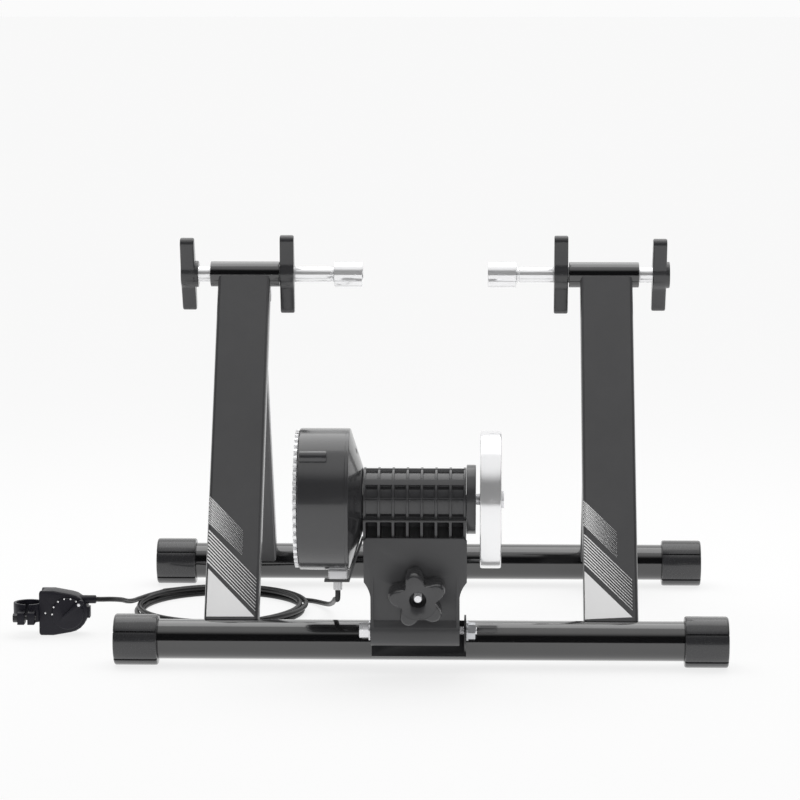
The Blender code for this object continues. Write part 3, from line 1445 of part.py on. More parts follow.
def control_cable(adjuster_end):
    """The two free stretches and the coil between them."""
    coil = coil_route()
    print("coil's least gap to itself:", round(1000 * least_gap(coil), 2), "mm")
    cord("cable_coil", coil, 1)
    start = Vector((ADJUSTER_X, STOP_Y, adjuster_end - GAP))
    into = (coil[0] - coil[1]).normalized()
    meet = coil[0] + into * GAP
    route = [start, start + Vector((0, 0, -2 * CABLE_RADIUS))]
    route += [Vector(place) for place in UNIT_LEAD]
    route += [meet + into * 0.014, meet + into * 2 * CABLE_RADIUS, meet]
    cord("cable_unit_lead", smooth_route(route, CABLE_SPACING), 2)
    away = (coil[-1] - coil[-2]).normalized()
    leave = coil[-1] + away * GAP
    end = Vector((OUTLET_X + GAP, OUTLET_Y, OUTLET_Z))
    route = [leave, leave + away * 2 * CABLE_RADIUS, leave + away * 0.014]
    route += [Vector(place) for place in REMOTE_LEAD]
    route += [end + Vector((2 * CABLE_RADIUS, 0, 0)), end]
    cord("cable_remote_lead", smooth_route(route, CABLE_SPACING), 2)


# Assembly


def make_bodies():
    """The root frame and one empty for each moving body, on its joint's axis."""
    make_body("rear_frame", (0.0, 0.0, 0.0))
    make_body("front_frame", (0.0, *fold_pivot()), "rear_frame")
    for side_name, side in sides():
        foot_x = side * (FOOT_OUTER_X - FOOT_LENGTH / 2)
        make_body("foot_rear_" + side_name, (foot_x, REAR_Y, BAR_HEIGHT), "rear_frame")
        make_body("foot_front_" + side_name, (foot_x, FRONT_Y, BAR_HEIGHT), "front_frame")
        cup = (side * CUP_INNER_X, 0.0, AXLE_HEIGHT)
        make_body("axle_cup_" + side_name, cup, "rear_frame")
        make_body("spindle_turn_" + side_name, cup, "axle_cup_" + side_name)
        lock = (side * LOCK_KNOB_INNER_X, 0.0, AXLE_HEIGHT)
        make_body("lock_turn_" + side_name, lock, "rear_frame")
    make_body("resistance_unit", (0.0, PIVOT_Y, PIVOT_Z), "rear_frame")
    make_body("rotor", (0.0, UNIT_Y, UNIT_Z), "resistance_unit")
    make_body("magnet_turn", (DRUM_HUB_LEFT, UNIT_Y, UNIT_Z), "resistance_unit")
    stud = plate_at_stud() @ Vector((0.0, 0.0, BRACKET_FRONT))
    make_body("tension_washer", stud, "rear_frame")
    make_body("tension_knob", stud, "tension_washer")
    make_body("remote_lever", (DIAL_X, REMOTE_Y, REMOTE_Z), "rear_frame")


def build_frames():
    """Base tubes, uprights, sleeves, feet and fold hinges."""
    floor_tube("rear_floor_tube", "rear_frame", REAR_Y)
    floor_tube("front_floor_tube", "front_frame", FRONT_Y)
    for side_name, side in sides():
        rear_upright("rear_upright_" + side_name, side)
        front_upright("front_upright_" + side_name, side)
        axle_sleeve("axle_sleeve_" + side_name, side)
        fold_bracket("fold_bracket_" + side_name, side)
        fold_fasteners(side_name, side)
        fold_bush("fold_bush_" + side_name, side)
        clamp(side_name, side)
        for row, y in (("rear", REAR_Y), ("front", FRONT_Y)):
            name = "foot_" + row + "_" + side_name
            levelling_foot(name, name, side, y)


def build_unit():
    """Everything on the tilting bracket, with its pivot and tension screw."""
    pivot_clevis()
    pivot_fasteners()
    unit_bracket()
    tension_parts()
    roller_housing()
    end_flange()
    drum_casing()
    bearing("bearing_left", left_bearing_low())
    bearing("bearing_right", HOUSING_RIGHT + GAP)
    rotor()
    magnets("magnet_turn")


def frame_place():
    """The move that brings the origin under the centre of the whole trainer's box."""
    left = BAND_X - BAND_RADIUS
    right = FOOT_OUTER_X
    near = UNIT_Y - DRUM_RADIUS
    far = FRONT_Y + max(u for u, v in foot_outline(FOOT_CHAMFER / 2))
    return (-(left + right) / 2, -(near + far) / 2, 0.0)


def main():
    clear_scene()
    make_materials()
    make_bodies()
    build_frames()
    build_unit()
    adjuster_end = cable_stop()
    remote_body()
    remote_clamp()
    remote_lever()
    control_cable(adjuster_end)
    EMPTIES["rear_frame"].location = frame_place()


main()
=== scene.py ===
"""Looks of the bike trainer: finishes, detailed pieces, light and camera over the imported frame."""

from __future__ import annotations

import json
import logging
import math
from collections.abc import Iterable
from dataclasses import dataclass, field, replace
from enum import Enum
from typing import Union

import bmesh
import bpy
from mathutils import Matrix, Vector

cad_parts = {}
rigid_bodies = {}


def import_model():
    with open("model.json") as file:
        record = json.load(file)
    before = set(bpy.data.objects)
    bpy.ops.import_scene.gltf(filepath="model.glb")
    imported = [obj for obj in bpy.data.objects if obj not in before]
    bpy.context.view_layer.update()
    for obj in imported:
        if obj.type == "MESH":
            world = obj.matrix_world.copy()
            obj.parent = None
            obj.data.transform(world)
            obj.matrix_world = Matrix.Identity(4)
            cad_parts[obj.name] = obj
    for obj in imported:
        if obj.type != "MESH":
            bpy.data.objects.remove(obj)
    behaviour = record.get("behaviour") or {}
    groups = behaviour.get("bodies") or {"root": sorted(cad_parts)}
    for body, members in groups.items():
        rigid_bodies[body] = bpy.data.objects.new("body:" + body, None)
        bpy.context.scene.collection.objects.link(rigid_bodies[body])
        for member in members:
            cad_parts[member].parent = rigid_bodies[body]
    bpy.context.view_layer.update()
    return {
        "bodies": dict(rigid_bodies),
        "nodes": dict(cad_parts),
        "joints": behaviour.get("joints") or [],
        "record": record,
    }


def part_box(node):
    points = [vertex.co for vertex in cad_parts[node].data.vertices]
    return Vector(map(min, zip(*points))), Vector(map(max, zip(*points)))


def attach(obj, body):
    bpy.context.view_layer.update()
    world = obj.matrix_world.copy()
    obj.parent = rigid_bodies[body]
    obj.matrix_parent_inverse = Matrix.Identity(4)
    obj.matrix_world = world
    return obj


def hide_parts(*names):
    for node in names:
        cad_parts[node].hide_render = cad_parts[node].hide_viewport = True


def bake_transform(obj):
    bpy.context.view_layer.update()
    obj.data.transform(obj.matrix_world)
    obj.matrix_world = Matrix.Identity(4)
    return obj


log = logging.getLogger("bike_trainer")

# The design origin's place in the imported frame, and the clearance between fitted pieces
SHIFT = Vector((0.059, 0.03705, 0.0))
GAP = 0.0003

# Floor tubes and wheel axle, then the unit's pivot and roller axis as (y, z)
REAR_Y = -0.210
FRONT_Y = 0.210
BAR_Z = 0.025
AXLE_Z = 0.3555
PIVOT = (-0.246, 0.0416)
UNIT = (-0.243, 0.1665)

# The bracket's lean, and the tension stud's place across it and up it
LEAN = math.radians(13.0)
TENSION_X = -0.0013
STUD_ALONG = 0.0464

# Half the thickness of printed ink, and how far a cutting form reaches past what it cuts
INK = 0.00010
OVERCUT = 0.002

SIDES = (("left", -1), ("right", 1))

Outline = list[tuple[float, float]]
Section = tuple[tuple[float, float], ...]
Profile = Union[Outline, Section]
Feed = Union[bpy.types.NodeSocket, float, tuple]


class Body(str, Enum):
    """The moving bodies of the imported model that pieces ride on."""

    REAR = "rear_frame"
    FRONT = "front_frame"
    UNIT = "resistance_unit"
    ROTOR = "rotor"
    KNOB = "tension_knob"
    LEVER = "remote_lever"


class Slot(str, Enum):
    """The record's material slots."""

    PAINT = "black_paint"
    BRACKET = "bracket_black"
    KNOB = "knob_plastic"
    HOUSING = "housing_plastic"
    FOOT = "foot_rubber"
    CHROME = "chrome"
    ZINC = "zinc"
    BEARING = "bearing_steel"
    FLYWHEEL = "flywheel_steel"
    ALUMINIUM = "cast_aluminium"
    ROLLER = "roller_rubber"
    MAGNET = "magnet"
    GREY = "grey_plastic"
    REMOTE = "remote_plastic"
    CABLE = "cable_rubber"


# Shader graphs


class Graph:
    """A node tree under construction.

    Args:
        tree: the shader or geometry node tree to fill.
    """

    def __init__(self, tree: bpy.types.NodeTree) -> None:
        self.tree = tree
        tree.nodes.clear()

    def add(self, kind: str, inputs: dict | None = None, **props: object) -> bpy.types.Node:
        """Add a node, set its properties, and set or link its inputs.

        Args:
            kind: the node's type name.
            inputs: socket name or number to a constant or to another node's output.
            props: properties of the node.

        Returns:
            The new node.
        """
        node = self.tree.nodes.new(kind)
        for key, value in props.items():
            setattr(node, key, value)
        for key, value in (inputs or {}).items():
            socket = node.inputs[key]
            if isinstance(value, bpy.types.NodeSocket):
                self.tree.links.new(value, socket)
            else:
                socket.default_value = value
        return node

    def math(self, operation: str, *values: Feed, clamp: bool = False) -> bpy.types.NodeSocket:
        """Add a math node and return its output."""
        inputs = dict(enumerate(values))
        return self.add("ShaderNodeMath", inputs, operation=operation, use_clamp=clamp).outputs[0]

    def mix(self, share: Feed, first: Feed, second: Feed) -> bpy.types.NodeSocket:
        """Mix two colours and return the result."""
        node = self.add("ShaderNodeMix", {0: share, 6: first, 7: second}, data_type="RGBA")
        return node.outputs[2]

    def ramp(self, value: Feed, low: float, high: float) -> bpy.types.NodeSocket:
        """Add a smooth step from 0 at low to 1 at high and return its output."""
        inputs = {0: value, 1: low, 2: high, 3: 0.0, 4: 1.0}
        return self.add("ShaderNodeMapRange", inputs, interpolation_type="SMOOTHSTEP").outputs[0]

    def noise(self, scale: Feed, detail: float) -> bpy.types.NodeSocket:
        """Add a noise over the object's own coordinates.

        Args:
            scale: its size per metre.
            detail: how many finer layers it has.

        Returns:
            The noise's value.
        """
        place = self.add("ShaderNodeTexCoord").outputs["Object"]
        inputs = {"Vector": place, "Scale": scale, "Detail": detail}
        return self.add("ShaderNodeTexNoise", inputs).outputs[0]


def colour(red: float, green: float | None = None, blue: float | None = None) -> tuple:
    """A linear colour with alpha; one number makes a grey."""
    green = red if green is None else green
    return (red, green, green if blue is None else blue, 1.0)


def group_tree(name: str, inputs: dict, outputs: dict) -> bpy.types.NodeTree:
    """Make a shader group with the given sockets.

    Args:
        name: the group's name.
        inputs: input name to its number, which is the socket's default.
        outputs: output name to socket type.

    Returns:
        The empty group.
    """
    tree = bpy.data.node_groups.new(name, "ShaderNodeTree")
    for key, default in inputs.items():
        socket = tree.interface.new_socket(key, in_out="INPUT", socket_type="NodeSocketFloat")
        socket.default_value = default
    for key, kind in outputs.items():
        tree.interface.new_socket(key, in_out="OUTPUT", socket_type=kind)
    return tree


def make_grain() -> bpy.types.NodeTree:
    """Make the fine surface grain.

    Returns:
        A group with a normal, and a fine and a slow value for roughness and colour.
    """
    outputs = {"Normal": "NodeSocketVector", "Fine": "NodeSocketFloat", "Slow": "NodeSocketFloat"}
    tree = group_tree("surface_grain", {"Scale": 900.0, "Depth": 0.1, "Edge": 0.0004}, outputs)
    graph = Graph(tree)
    given = graph.add("NodeGroupInput").outputs
    fine = graph.noise(given["Scale"], detail=3.0)
    slow = graph.noise(22.0, detail=3.0)
    edge = graph.add("ShaderNodeBevel", {"Radius": given["Edge"]}, samples=4).outputs[0]
    relief = {"Strength": given["Depth"], "Distance": 0.0004, "Height": fine, "Normal": edge}
    bump = graph.add("ShaderNodeBump", relief).outputs[0]
    graph.add("NodeGroupOutput", {"Normal": bump, "Fine": fine, "Slow": slow})
    return tree


def make_edge_mask() -> bpy.types.NodeTree:
    """Make the edge wear.

    Returns:
        A group with a mask that is 1 on sharp edges, broken up by noise.
    """
    tree = group_tree("edge_wear", {"Radius": 0.0008}, {"Mask": "NodeSocketFloat"})
    graph = Graph(tree)
    given = graph.add("NodeGroupInput").outputs
    edge = graph.add("ShaderNodeBevel", {"Radius": given["Radius"]}, samples=4).outputs[0]
    face = graph.add("ShaderNodeNewGeometry").outputs["Normal"]
    turn = graph.add("ShaderNodeVectorMath", {0: edge, 1: face}, operation="DOT_PRODUCT")
    sharp = graph.ramp(turn.outputs["Value"], low=0.985, high=0.90)
    worn = graph.ramp(graph.noise(160.0, detail=4.0), low=0.42, high=0.62)
    graph.add("NodeGroupOutput", {"Mask": graph.math("MULTIPLY", sharp, worn)})
    return tree


def make_dust() -> bpy.types.NodeTree:
    """Make the fine dust that settles on faces that look up.

    Returns:
        A group with the dust's mask.
    """
    tree = group_tree("settled_dust", {"Amount": 0.1}, {"Mask": "NodeSocketFloat"})
    graph = Graph(tree)
    given = graph.add("NodeGroupInput").outputs
    face = graph.add("ShaderNodeNewGeometry").outputs["Normal"]
    up = graph.add("ShaderNodeSeparateXYZ", {0: face}).outputs["Z"]
    level = graph.ramp(up, low=0.3, high=0.95)
    patchy = graph.ramp(graph.noise(70.0, detail=6.0), low=0.3, high=0.7)
    lying = graph.math("MULTIPLY", level, patchy)
    graph.add("NodeGroupOutput", {"Mask": graph.math("MULTIPLY", lying, given["Amount"])})
    return tree


@dataclass(frozen=True)
class Finish:
    """One surface finish.

    Args:
        name: the material's name.
        base: linear base colour.
        rough: roughness, and vary how far it wanders.
        metal: metallic share; a low share keeps bright plate pale in soft light.
        grain: grain size per metre, depth its bump strength.
        mottle: how far the colour wanders.
        edge: radius of the softened edges in metres, wear the share of their lighter tint.
        dust: share of dust on faces that look up.
        coat: weight of the clear coat.
        rings: axis (x, y, z) of concentric turning marks, or None.
        spec: specular level.
    """

    name: str
    base: tuple
    rough: float
    vary: float = 0.05
    metal: float = 0.0
    grain: float = 900.0
    depth: float = 0.1
    mottle: float = 0.12
    edge: float = 0.0004
    wear: float = 0.0
    dust: float = 0.0
    coat: float = 0.0
    rings: tuple | None = None
    spec: float = 0.5

    def tint(self, share: float, lift: float = 0.0) -> tuple:
        """The base colour times a share, with a lift, kept under 1."""
        return colour(*(min(1.0, level * share + lift) for level in self.base[:3]))


class Finishes:
    """Makes every material once and hands it out by name."""

    def __init__(self) -> None:
        self.grain = make_grain()
        self.edges = make_edge_mask()
        self.dust = make_dust()
        self.made: dict[str, bpy.types.Material] = {}

    def group(self, graph: Graph, tree: bpy.types.NodeTree, **inputs: Feed) -> bpy.types.Node:
        """Place one of the shared groups in a material, with its values."""
        return graph.add("ShaderNodeGroup", inputs, node_tree=tree)

    def turned_marks(self, graph: Graph, axis: tuple, normal: Feed) -> bpy.types.NodeSocket:
        """Lay concentric turning marks over a normal.

        Args:
            graph: the material's graph.
            axis: a point (x, y, z) on the marks' axis, which runs along X.
            normal: the normal below the marks.

        Returns:
            The normal with the marks.
        """
        place = graph.add("ShaderNodeTexCoord").outputs["Object"]
        back = [-level for level in axis]
        centred = graph.add("ShaderNodeMapping", {"Vector": place, "Location": back}).outputs[0]
        inputs = {"Vector": centred, "Scale": 170.0, "Distortion": 0.6, "Detail": 2.0}
        wave = graph.add("ShaderNodeTexWave", inputs, wave_type="RINGS", rings_direction="X")
        relief = {"Strength": 0.22, "Distance": 0.0002, "Height": wave.outputs["Fac"]}
        return graph.add("ShaderNodeBump", {**relief, "Normal": normal}).outputs[0]

    def make(self, finish: Finish) -> bpy.types.Material:
        """Build a finish's node material.

        Args:
            finish: the values to build from.

        Returns:
            The material, which is also kept under the finish's name.
        """
        made = bpy.data.materials.new(finish.name)
        made.use_nodes = True
        graph = Graph(made.node_tree)
        sizes = {"Scale": finish.grain, "Depth": finish.depth, "Edge": finish.edge}
        grain = self.group(graph, self.grain, **sizes).outputs
        dark, light = finish.tint(1 - finish.mottle), finish.tint(1 + finish.mottle)
        tone = graph.mix(grain["Slow"], dark, light)
        if finish.wear:
            mask = self.group(graph, self.edges, Radius=finish.edge * 2).outputs["Mask"]
            share = graph.math("MULTIPLY", mask, finish.wear)
            tone = graph.mix(share, tone, finish.tint(2.2, lift=0.05))
        if finish.dust:
            mask = self.group(graph, self.dust, Amount=finish.dust).outputs["Mask"]
            tone = graph.mix(mask, tone, colour(0.42, 0.40, 0.37))
        spread = (2 * finish.vary, finish.rough - finish.vary)
        swing = graph.math("MULTIPLY_ADD", grain["Fine"], *spread)
        inputs = {"Base Color": tone, "Roughness": swing, "Metallic": finish.metal,
                  "Coat Weight": finish.coat, "Coat Roughness": 0.08,
                  "Specular IOR Level": finish.spec}
        if finish.rings is not None:
            inputs["Normal"] = self.turned_marks(graph, finish.rings, grain["Normal"])
        elif finish.depth:
            inputs["Normal"] = grain["Normal"]
        shader = graph.add("ShaderNodeBsdfPrincipled", inputs)
        graph.add("ShaderNodeOutputMaterial", {"Surface": shader.outputs[0]})
        self.made[finish.name] = made
        return made

    def __getitem__(self, name: str) -> bpy.types.Material:
        """The material of a finish's name."""
        return self.made[name]


# Shapes


def along_x(y: float, z: float) -> Matrix:
    """Plane across the X axis: u is +Y, v is +Z, w is +X, in the frame's place."""
    return Matrix(((0, 0, 1, SHIFT.x), (1, 0, 0, y + SHIFT.y), (0, 1, 0, z), (0, 0, 0, 1)))


def along_z(x: float, y: float) -> Matrix:
    """Plane across the Z axis: u is +X, v is +Y, w is +Z."""
    return Matrix.Translation((x + SHIFT.x, y + SHIFT.y, 0))


def facing(x: float, y: float, z: float) -> Matrix:
    """Upright plane seen from the rear: u is +X, v is +Z, w is -Y."""
    return Matrix(((1, 0, 0, x + SHIFT.x), (0, 0, -1, y + SHIFT.y), (0, 1, 0, z), (0, 0, 0, 1)))


def plane_of(*columns: Vector) -> Matrix:
    """A plane from its u, v and w directions and its origin."""
    return Matrix([[column[row] for column in columns] for row in range(3)] + [(0, 0, 0, 1)])


def plate_plane(x: float = 0.0, up: float = 0.0) -> Matrix:
    """The bracket's plane: u is +X, v runs up the plate, w comes out of its front.

    Args:
        x: the origin's place across the plate.
        up: the origin's place up the plate, from the pivot.

    Returns:
        The plane.
    """
    rise = Vector((0.0, -math.sin(LEAN), math.cos(LEAN)))
    out = Vector((0.0, -math.cos(LEAN), -math.sin(LEAN)))
    origin = Vector((x, *PIVOT)) + rise * up + SHIFT
    return plane_of(Vector((1.0, 0.0, 0.0)), rise, out, origin)


def plate_across() -> Matrix:
    """Across the bracket: u comes out of its front, v runs up it, w is +X."""
    across, rise, out, origin = (column.xyz for column in plate_plane().col)
    return plane_of(out, rise, across, origin)


def polar(radius: float, angle: float) -> tuple[float, float]:
    """The point at a radius and an angle from the origin."""
    return radius * math.cos(angle), radius * math.sin(angle)


def around(steps: int) -> list[float]:
    """Even angles once round."""
    return [math.tau * step / steps for step in range(steps)]


def bar(inner: float, outer: float, low: float, high: float) -> Outline:
    """The half section of a tube, or of a solid bar where the inner radius is 0."""
    return [(inner, low), (outer, low), (outer, high), (inner, high)]


def mirrored(section: Section, side: int) -> Outline:
    """A right-hand half section for the side -1 or 1."""
    return [(radius, side * level) for radius, level in section]


def hull(circles: Iterable[tuple], steps: int = 48) -> Outline:
    """The convex outline around circles.

    Args:
        circles: each one's (u, v, radius), where a radius of 0 is a sharp corner.
        steps: points on each circle.

    Returns:
        The outline.
    """
    points: set[tuple[float, float]] = set()
    for u, v, radius in circles:
        for angle in around(steps if radius else 1):
            aside, up = polar(radius, angle)
            points.add((round(u + aside, 7), round(v + up, 7)))
    ordered = sorted(points)
    chains: Outline = []
    for line in (ordered, ordered[::-1]):
        chain: Outline = []
        for point in line:
            while len(chain) > 1:
                ahead = (chain[-1][0] - chain[-2][0], chain[-1][1] - chain[-2][1])
                aside = (point[0] - chain[-2][0], point[1] - chain[-2][1])
                if ahead[0] * aside[1] - ahead[1] * aside[0] > 1e-12:
                    break
                chain.pop()
            chain.append(point)
        chains += chain[:-1]
    return chains


def turned_outline(outline: Outline, angle: float) -> Outline:
    """An outline turned about its plane's origin."""
    c, s = math.cos(angle), math.sin(angle)
    return [(u * c - v * s, u * s + v * c) for u, v in outline]


def rounded(profile: Profile, radius: float, steps: int = 3) -> Outline:
    """Round every corner of a half section that doesn't lie on the axis.

    Args:
        profile: closed row of (radius, w) points.
        radius: the corner radius, cut down where an edge is short.
        steps: points in each rounded corner, less one.

    Returns:
        The softened half section.
    """
    made: Outline = []
    count = len(profile)
    for index, point in enumerate(profile):
        here = Vector(point)
        before = Vector(profile[index - 1]) - here
        after = Vector(profile[(index + 1) % count]) - here
        reach = min(radius, before.length * 0.45, after.length * 0.45)
        bend = abs(before.normalized().cross(after.normalized()))
        if here.x < 1e-9 or reach < 1e-6 or bend < 0.2:
            made.append(point)
            continue
        first = here + before.normalized() * reach
        last = here + after.normalized() * reach
        for step in range(steps + 1):
            t = step / steps
            place = first * (1 - t) ** 2 + here * 2 * t * (1 - t) + last * t**2
            made.append((place.x, place.y))
    return made


def linked(name: str, data: bpy.types.ID) -> bpy.types.Object:
    """Make an object at the origin and put it in the scene.

    Args:
        name: its name.
        data: its mesh, light or camera.

    Returns:
        The object.
    """
    made = bpy.data.objects.new(name, data)
    bpy.context.scene.collection.objects.link(made)
    return made


@dataclass
class Form:
    """A mesh under construction.

    Args:
        mesh: the bmesh that holds it.
    """

    mesh: bmesh.types.BMesh = field(default_factory=bmesh.new)

    def skin(self, rings: list[list[Vector]]) -> Form:
        """Add a closed skin over rings of points, with a face at each end.

        Args:
            rings: the rings in order, each with the same number of points.

        Returns:
            The form itself.
        """
        verts = [[self.mesh.verts.new(place) for place in ring] for ring in rings]
        self.mesh.faces.new(verts[0])
        self.mesh.faces.new(verts[-1])
        for ring, other in zip(verts, verts[1:]):
            for index in range(len(ring)):
                after = (index + 1) % len(ring)
                self.mesh.faces.new((ring[index], ring[after], other[after], other[index]))
        return self

    def loft(self, outline: Outline, levels: Section, frame: Matrix) -> Form:
        """Add an outline that is scaled about its origin from level to level.

        Args:
            outline: the (u, v) points.
            levels: (w, scale) pairs in order.
            frame: where the outline's plane lies.

        Returns:
            The form itself.
        """
        return self.skin([
            [frame @ Vector((u * scale, v * scale, level)) for u, v in outline]
            for level, scale in levels
        ])

    def prism(self, outline: Outline, low: float, high: float, frame: Matrix) -> Form:
        """Add an outline of (u, v) points, extruded from low to high along w."""
        return self.loft(outline, ((low, 1.0), (high, 1.0)), frame)

    def block(self, low: tuple, high: tuple) -> Form:
        """Add a box between two corners."""
        outline = [(low[0], low[1]), (high[0], low[1]), (high[0], high[1]), (low[0], high[1])]
        return self.prism(outline, low[2], high[2], along_z(0.0, 0.0))

    def turned(
        self,
        profile: Profile,
        frame: Matrix,
        steps: int = 96,
        start: float = 0.0,
        sweep: float = math.tau,
    ) -> Form:
        """Turn a closed profile of (radius, w) points about w, all the way or over a sweep.

        Args:
            profile: the closed outline of one half section.
            frame: where w is the axis.
            steps: facets in the sweep.
            start: the angle where the sweep starts.
            sweep: how far it turns.

        Returns:
            The form itself.
        """
        whole = abs(sweep - math.tau) < 1e-9
        count = steps if whole else steps + 1
        rings = []
        for radius, level in profile:
            angles = [start + sweep * step / steps for step in range(count if radius else 1)]
            places = [Vector((*polar(radius, angle), level)) for angle in angles]
            rings.append([self.mesh.verts.new(frame @ place) for place in places])
        for index, ring in enumerate(rings):
            other = rings[(index + 1) % len(rings)]
            for step in range(steps):
                after = (step + 1) % count
                corners = (ring[step % len(ring)], ring[after % len(ring)],
                           other[after % len(other)], other[step % len(other)])
                corners = tuple(dict.fromkeys(corners))
                if len(corners) > 2:
                    self.mesh.faces.new(corners)
        if not whole:
            self.mesh.faces.new([ring[0] for ring in rings])
            self.mesh.faces.new([ring[-1] for ring in rings])
        return self

    def pin(
        self,
        frame: Matrix,
        radius: float,
        low: float,
        high: float,
        soft: float = 0.0,
        steps: int = 64,
    ) -> Form:
        """Add a solid round bar along w.

        Args:
            frame: where w is the axis.
            radius: the bar's radius.
            low, high: its ends along w.
            soft: the radius of its rounded ends, or 0.
            steps: facets round it.

        Returns:
            The form itself.
        """
        return self.turned(rounded(bar(0.0, radius, low, high), soft), frame, steps)

    def thread(self, radius: float, low: float, high: float, frame: Matrix) -> Form:
        """Add a closed helical thread.

        Args:
            radius: the thread's outer radius.
            low, high: its ends along w.
            frame: where w is the axis.

        Returns:
            The form itself.
        """
        pitch, steps = 0.00125, 28
        depth = pitch * 0.55
        root = radius - depth * 1.3
        count = int((high - low) / pitch * steps)
        rings = []
        for index in range(count + 1):
            angle = math.tau * index / steps
            level = low + (high - low) * index / count
            crest = radius - depth if index in (0, count) else radius
            rings.append([
                frame @ Vector((*polar(reach, angle), level + pitch * share))
                for reach, share in ((root, -0.42), (crest, -0.06), (crest, 0.06), (root, 0.42))
            ])
        return self.skin(rings)

    def hexagon(self, across: float, low: float, high: float, frame: Matrix, turn: float) -> Form:
        """Add a six-sided head with chamfered corners.

        Args:
            across: the width between opposite flats.
            low, high: its ends along w.
            frame: where w is the axis.
            turn: the head's angle about w.

        Returns:
            The form itself.
        """
        radius = across / math.sqrt(3)
        chamfer = 0.0006
        sixth = math.pi / 6
        levels = ((low, 0.90), (low + chamfer, 1.0), (high - chamfer, 1.0), (high, 0.90))
        rings = []
        for level, share in levels:
            ring = []
            for angle in around(48):
                flat = across / 2 / math.cos((angle + sixth) % (math.pi / 3) - sixth)
                reach = min(flat, radius * share)
                ring.append(frame @ Vector((*polar(reach, angle + turn), level)))
            rings.append(ring)
        return self.skin(rings)

    def object(self, name: str) -> bpy.types.Object:
        """Turn the form into an object with normals that face out.

        Args:
            name: the object's name.

        Returns:
            The object, in the scene.
        """
        bmesh.ops.remove_doubles(self.mesh, verts=self.mesh.verts, dist=1e-7)
        bmesh.ops.recalc_face_normals(self.mesh, faces=self.mesh.faces)
        mesh = bpy.data.meshes.new(name)
        self.mesh.to_mesh(mesh)
        self.mesh.free()
        return linked(name, mesh)


class Workshop:
    """Makes and finishes pieces, and hangs them on their bodies.

    Args:
        finishes: where materials come from.
    """

    def __init__(self, finishes: Finishes) -> None:
        self.finishes = finishes

    def join(self, target: bpy.types.Object, form: Form) -> None:
        """Queue the joining of a form to a piece."""
        self.boolean(target, form, "UNION")

    def cut(self, target: bpy.types.Object, form: Form) -> None:
        """Queue the cutting of a form out of a piece."""
        self.boolean(target, form, "DIFFERENCE")

    def boolean(self, target: bpy.types.Object, form: Form, operation: str) -> None:
        """Queue a boolean step with a helper form.

        Args:
            target: the piece that is changed.
            form: what is joined to it or taken away.
            operation: UNION or DIFFERENCE.
        """
        tool = form.object(target.name + ".tool")
        tool.hide_render = True
        tool.hide_viewport = True
        step = target.modifiers.new(tool.name, "BOOLEAN")
        step.operation = operation
        step.object = tool
        step.solver = "EXACT"

    def round_off(
        self, target: bpy.types.Object, width: float, segments: int = 3, angle: float = 35.0
    ) -> None:
        """Queue a rounding of the sharp edges.

        Args:
            target: the piece that is changed.
            width: the rounding's width.
            segments: facets across it.
            angle: edges sharper than this are rounded, in degrees.
        """
        step = target.modifiers.new("rounding", "BEVEL")
        step.width = width
        step.segments = segments
        step.limit_method = "ANGLE"
        step.angle_limit = math.radians(angle)

    def bake(self, target: bpy.types.Object) -> bpy.types.Object:
        """Apply an object's modifiers and remove the helpers they used.

        Args:
            target: the object, which keeps its name.

        Returns:
            The same object with a plain mesh.
        """
        tools = [step.object for step in target.modifiers if getattr(step, "object", None)]
        graph = bpy.context.evaluated_depsgraph_get()
        mesh = bpy.data.meshes.new_from_object(target.evaluated_get(graph))
        target.modifiers.clear()
        target.data = mesh
        for tool in tools:
            bpy.data.objects.remove(tool)
        return target

    def surface(self, piece: bpy.types.Object, finish: str, slot: Slot, angle: float) -> None:
        """Give a piece its material, smooth except at its sharp edges.

        Args:
            piece: the object.
            finish: the name of its material.
            slot: not used.
            angle: edges sharper than this stay sharp, in degrees.
        """
        piece.data.materials.clear()
        piece.data.materials.append(self.finishes[finish])
        piece.data.shade_smooth()
        piece.data.set_sharp_from_angle(angle=math.radians(angle))

    def finish(
        self,
        piece: bpy.types.Object,
        body: Body | str,
        finish: str,
        slot: Slot,
        replaces: tuple[str, ...] = (),
        angle: float = 32.0,
    ) -> None:
        """Bake a piece, give it its finish, and hang it on its body.

        Args:
            piece: the object to finish.
            body: the body it rides on.
            finish: the name of its material.
            slot: the record slot it takes its finish from.
            replaces: the CAD nodes it stands for.
            angle: edges sharper than this stay sharp, in degrees.
        """
        if piece.modifiers:
            self.bake(piece)
        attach(piece, body.value if isinstance(body, Body) else body)
        self.surface(piece, finish, slot, angle)
        if replaces:
            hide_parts(*replaces)
        log.info("%s: %d faces", piece.name, len(piece.data.polygons))

    def lathe(
        self,
        name: str,
        profile: Profile,
        frame: Matrix,
        body: Body | str,
        finish: str,
        slot: Slot,
        replaces: str,
        soft: float = 0.0006,
        steps: int = 96,
    ) -> None:
        """Make and finish a turned piece with rounded corners.

        Args:
            name: the piece's name.
            profile: its half section of (radius, w) points.
            frame: where w is the axis.
            body: the body it rides on.
            finish: the name of its material.
            slot: the record slot it takes its finish from.
            replaces: the CAD node it stands for.
            soft: the radius of its corners.
            steps: facets round it.
        """
        piece = Form().turned(rounded(profile, soft), frame, steps).object(name)
        self.finish(piece, body, finish, slot, (replaces,))


@dataclass
class Parts:
    """A sub-assembly, with its sizes as fields.

    Args:
        shop: makes its pieces.
    """

    shop: Workshop

    def build(self) -> None:
        """Make every piece; each kind of sub-assembly has its own way."""
        raise NotImplementedError


# Frames and feet


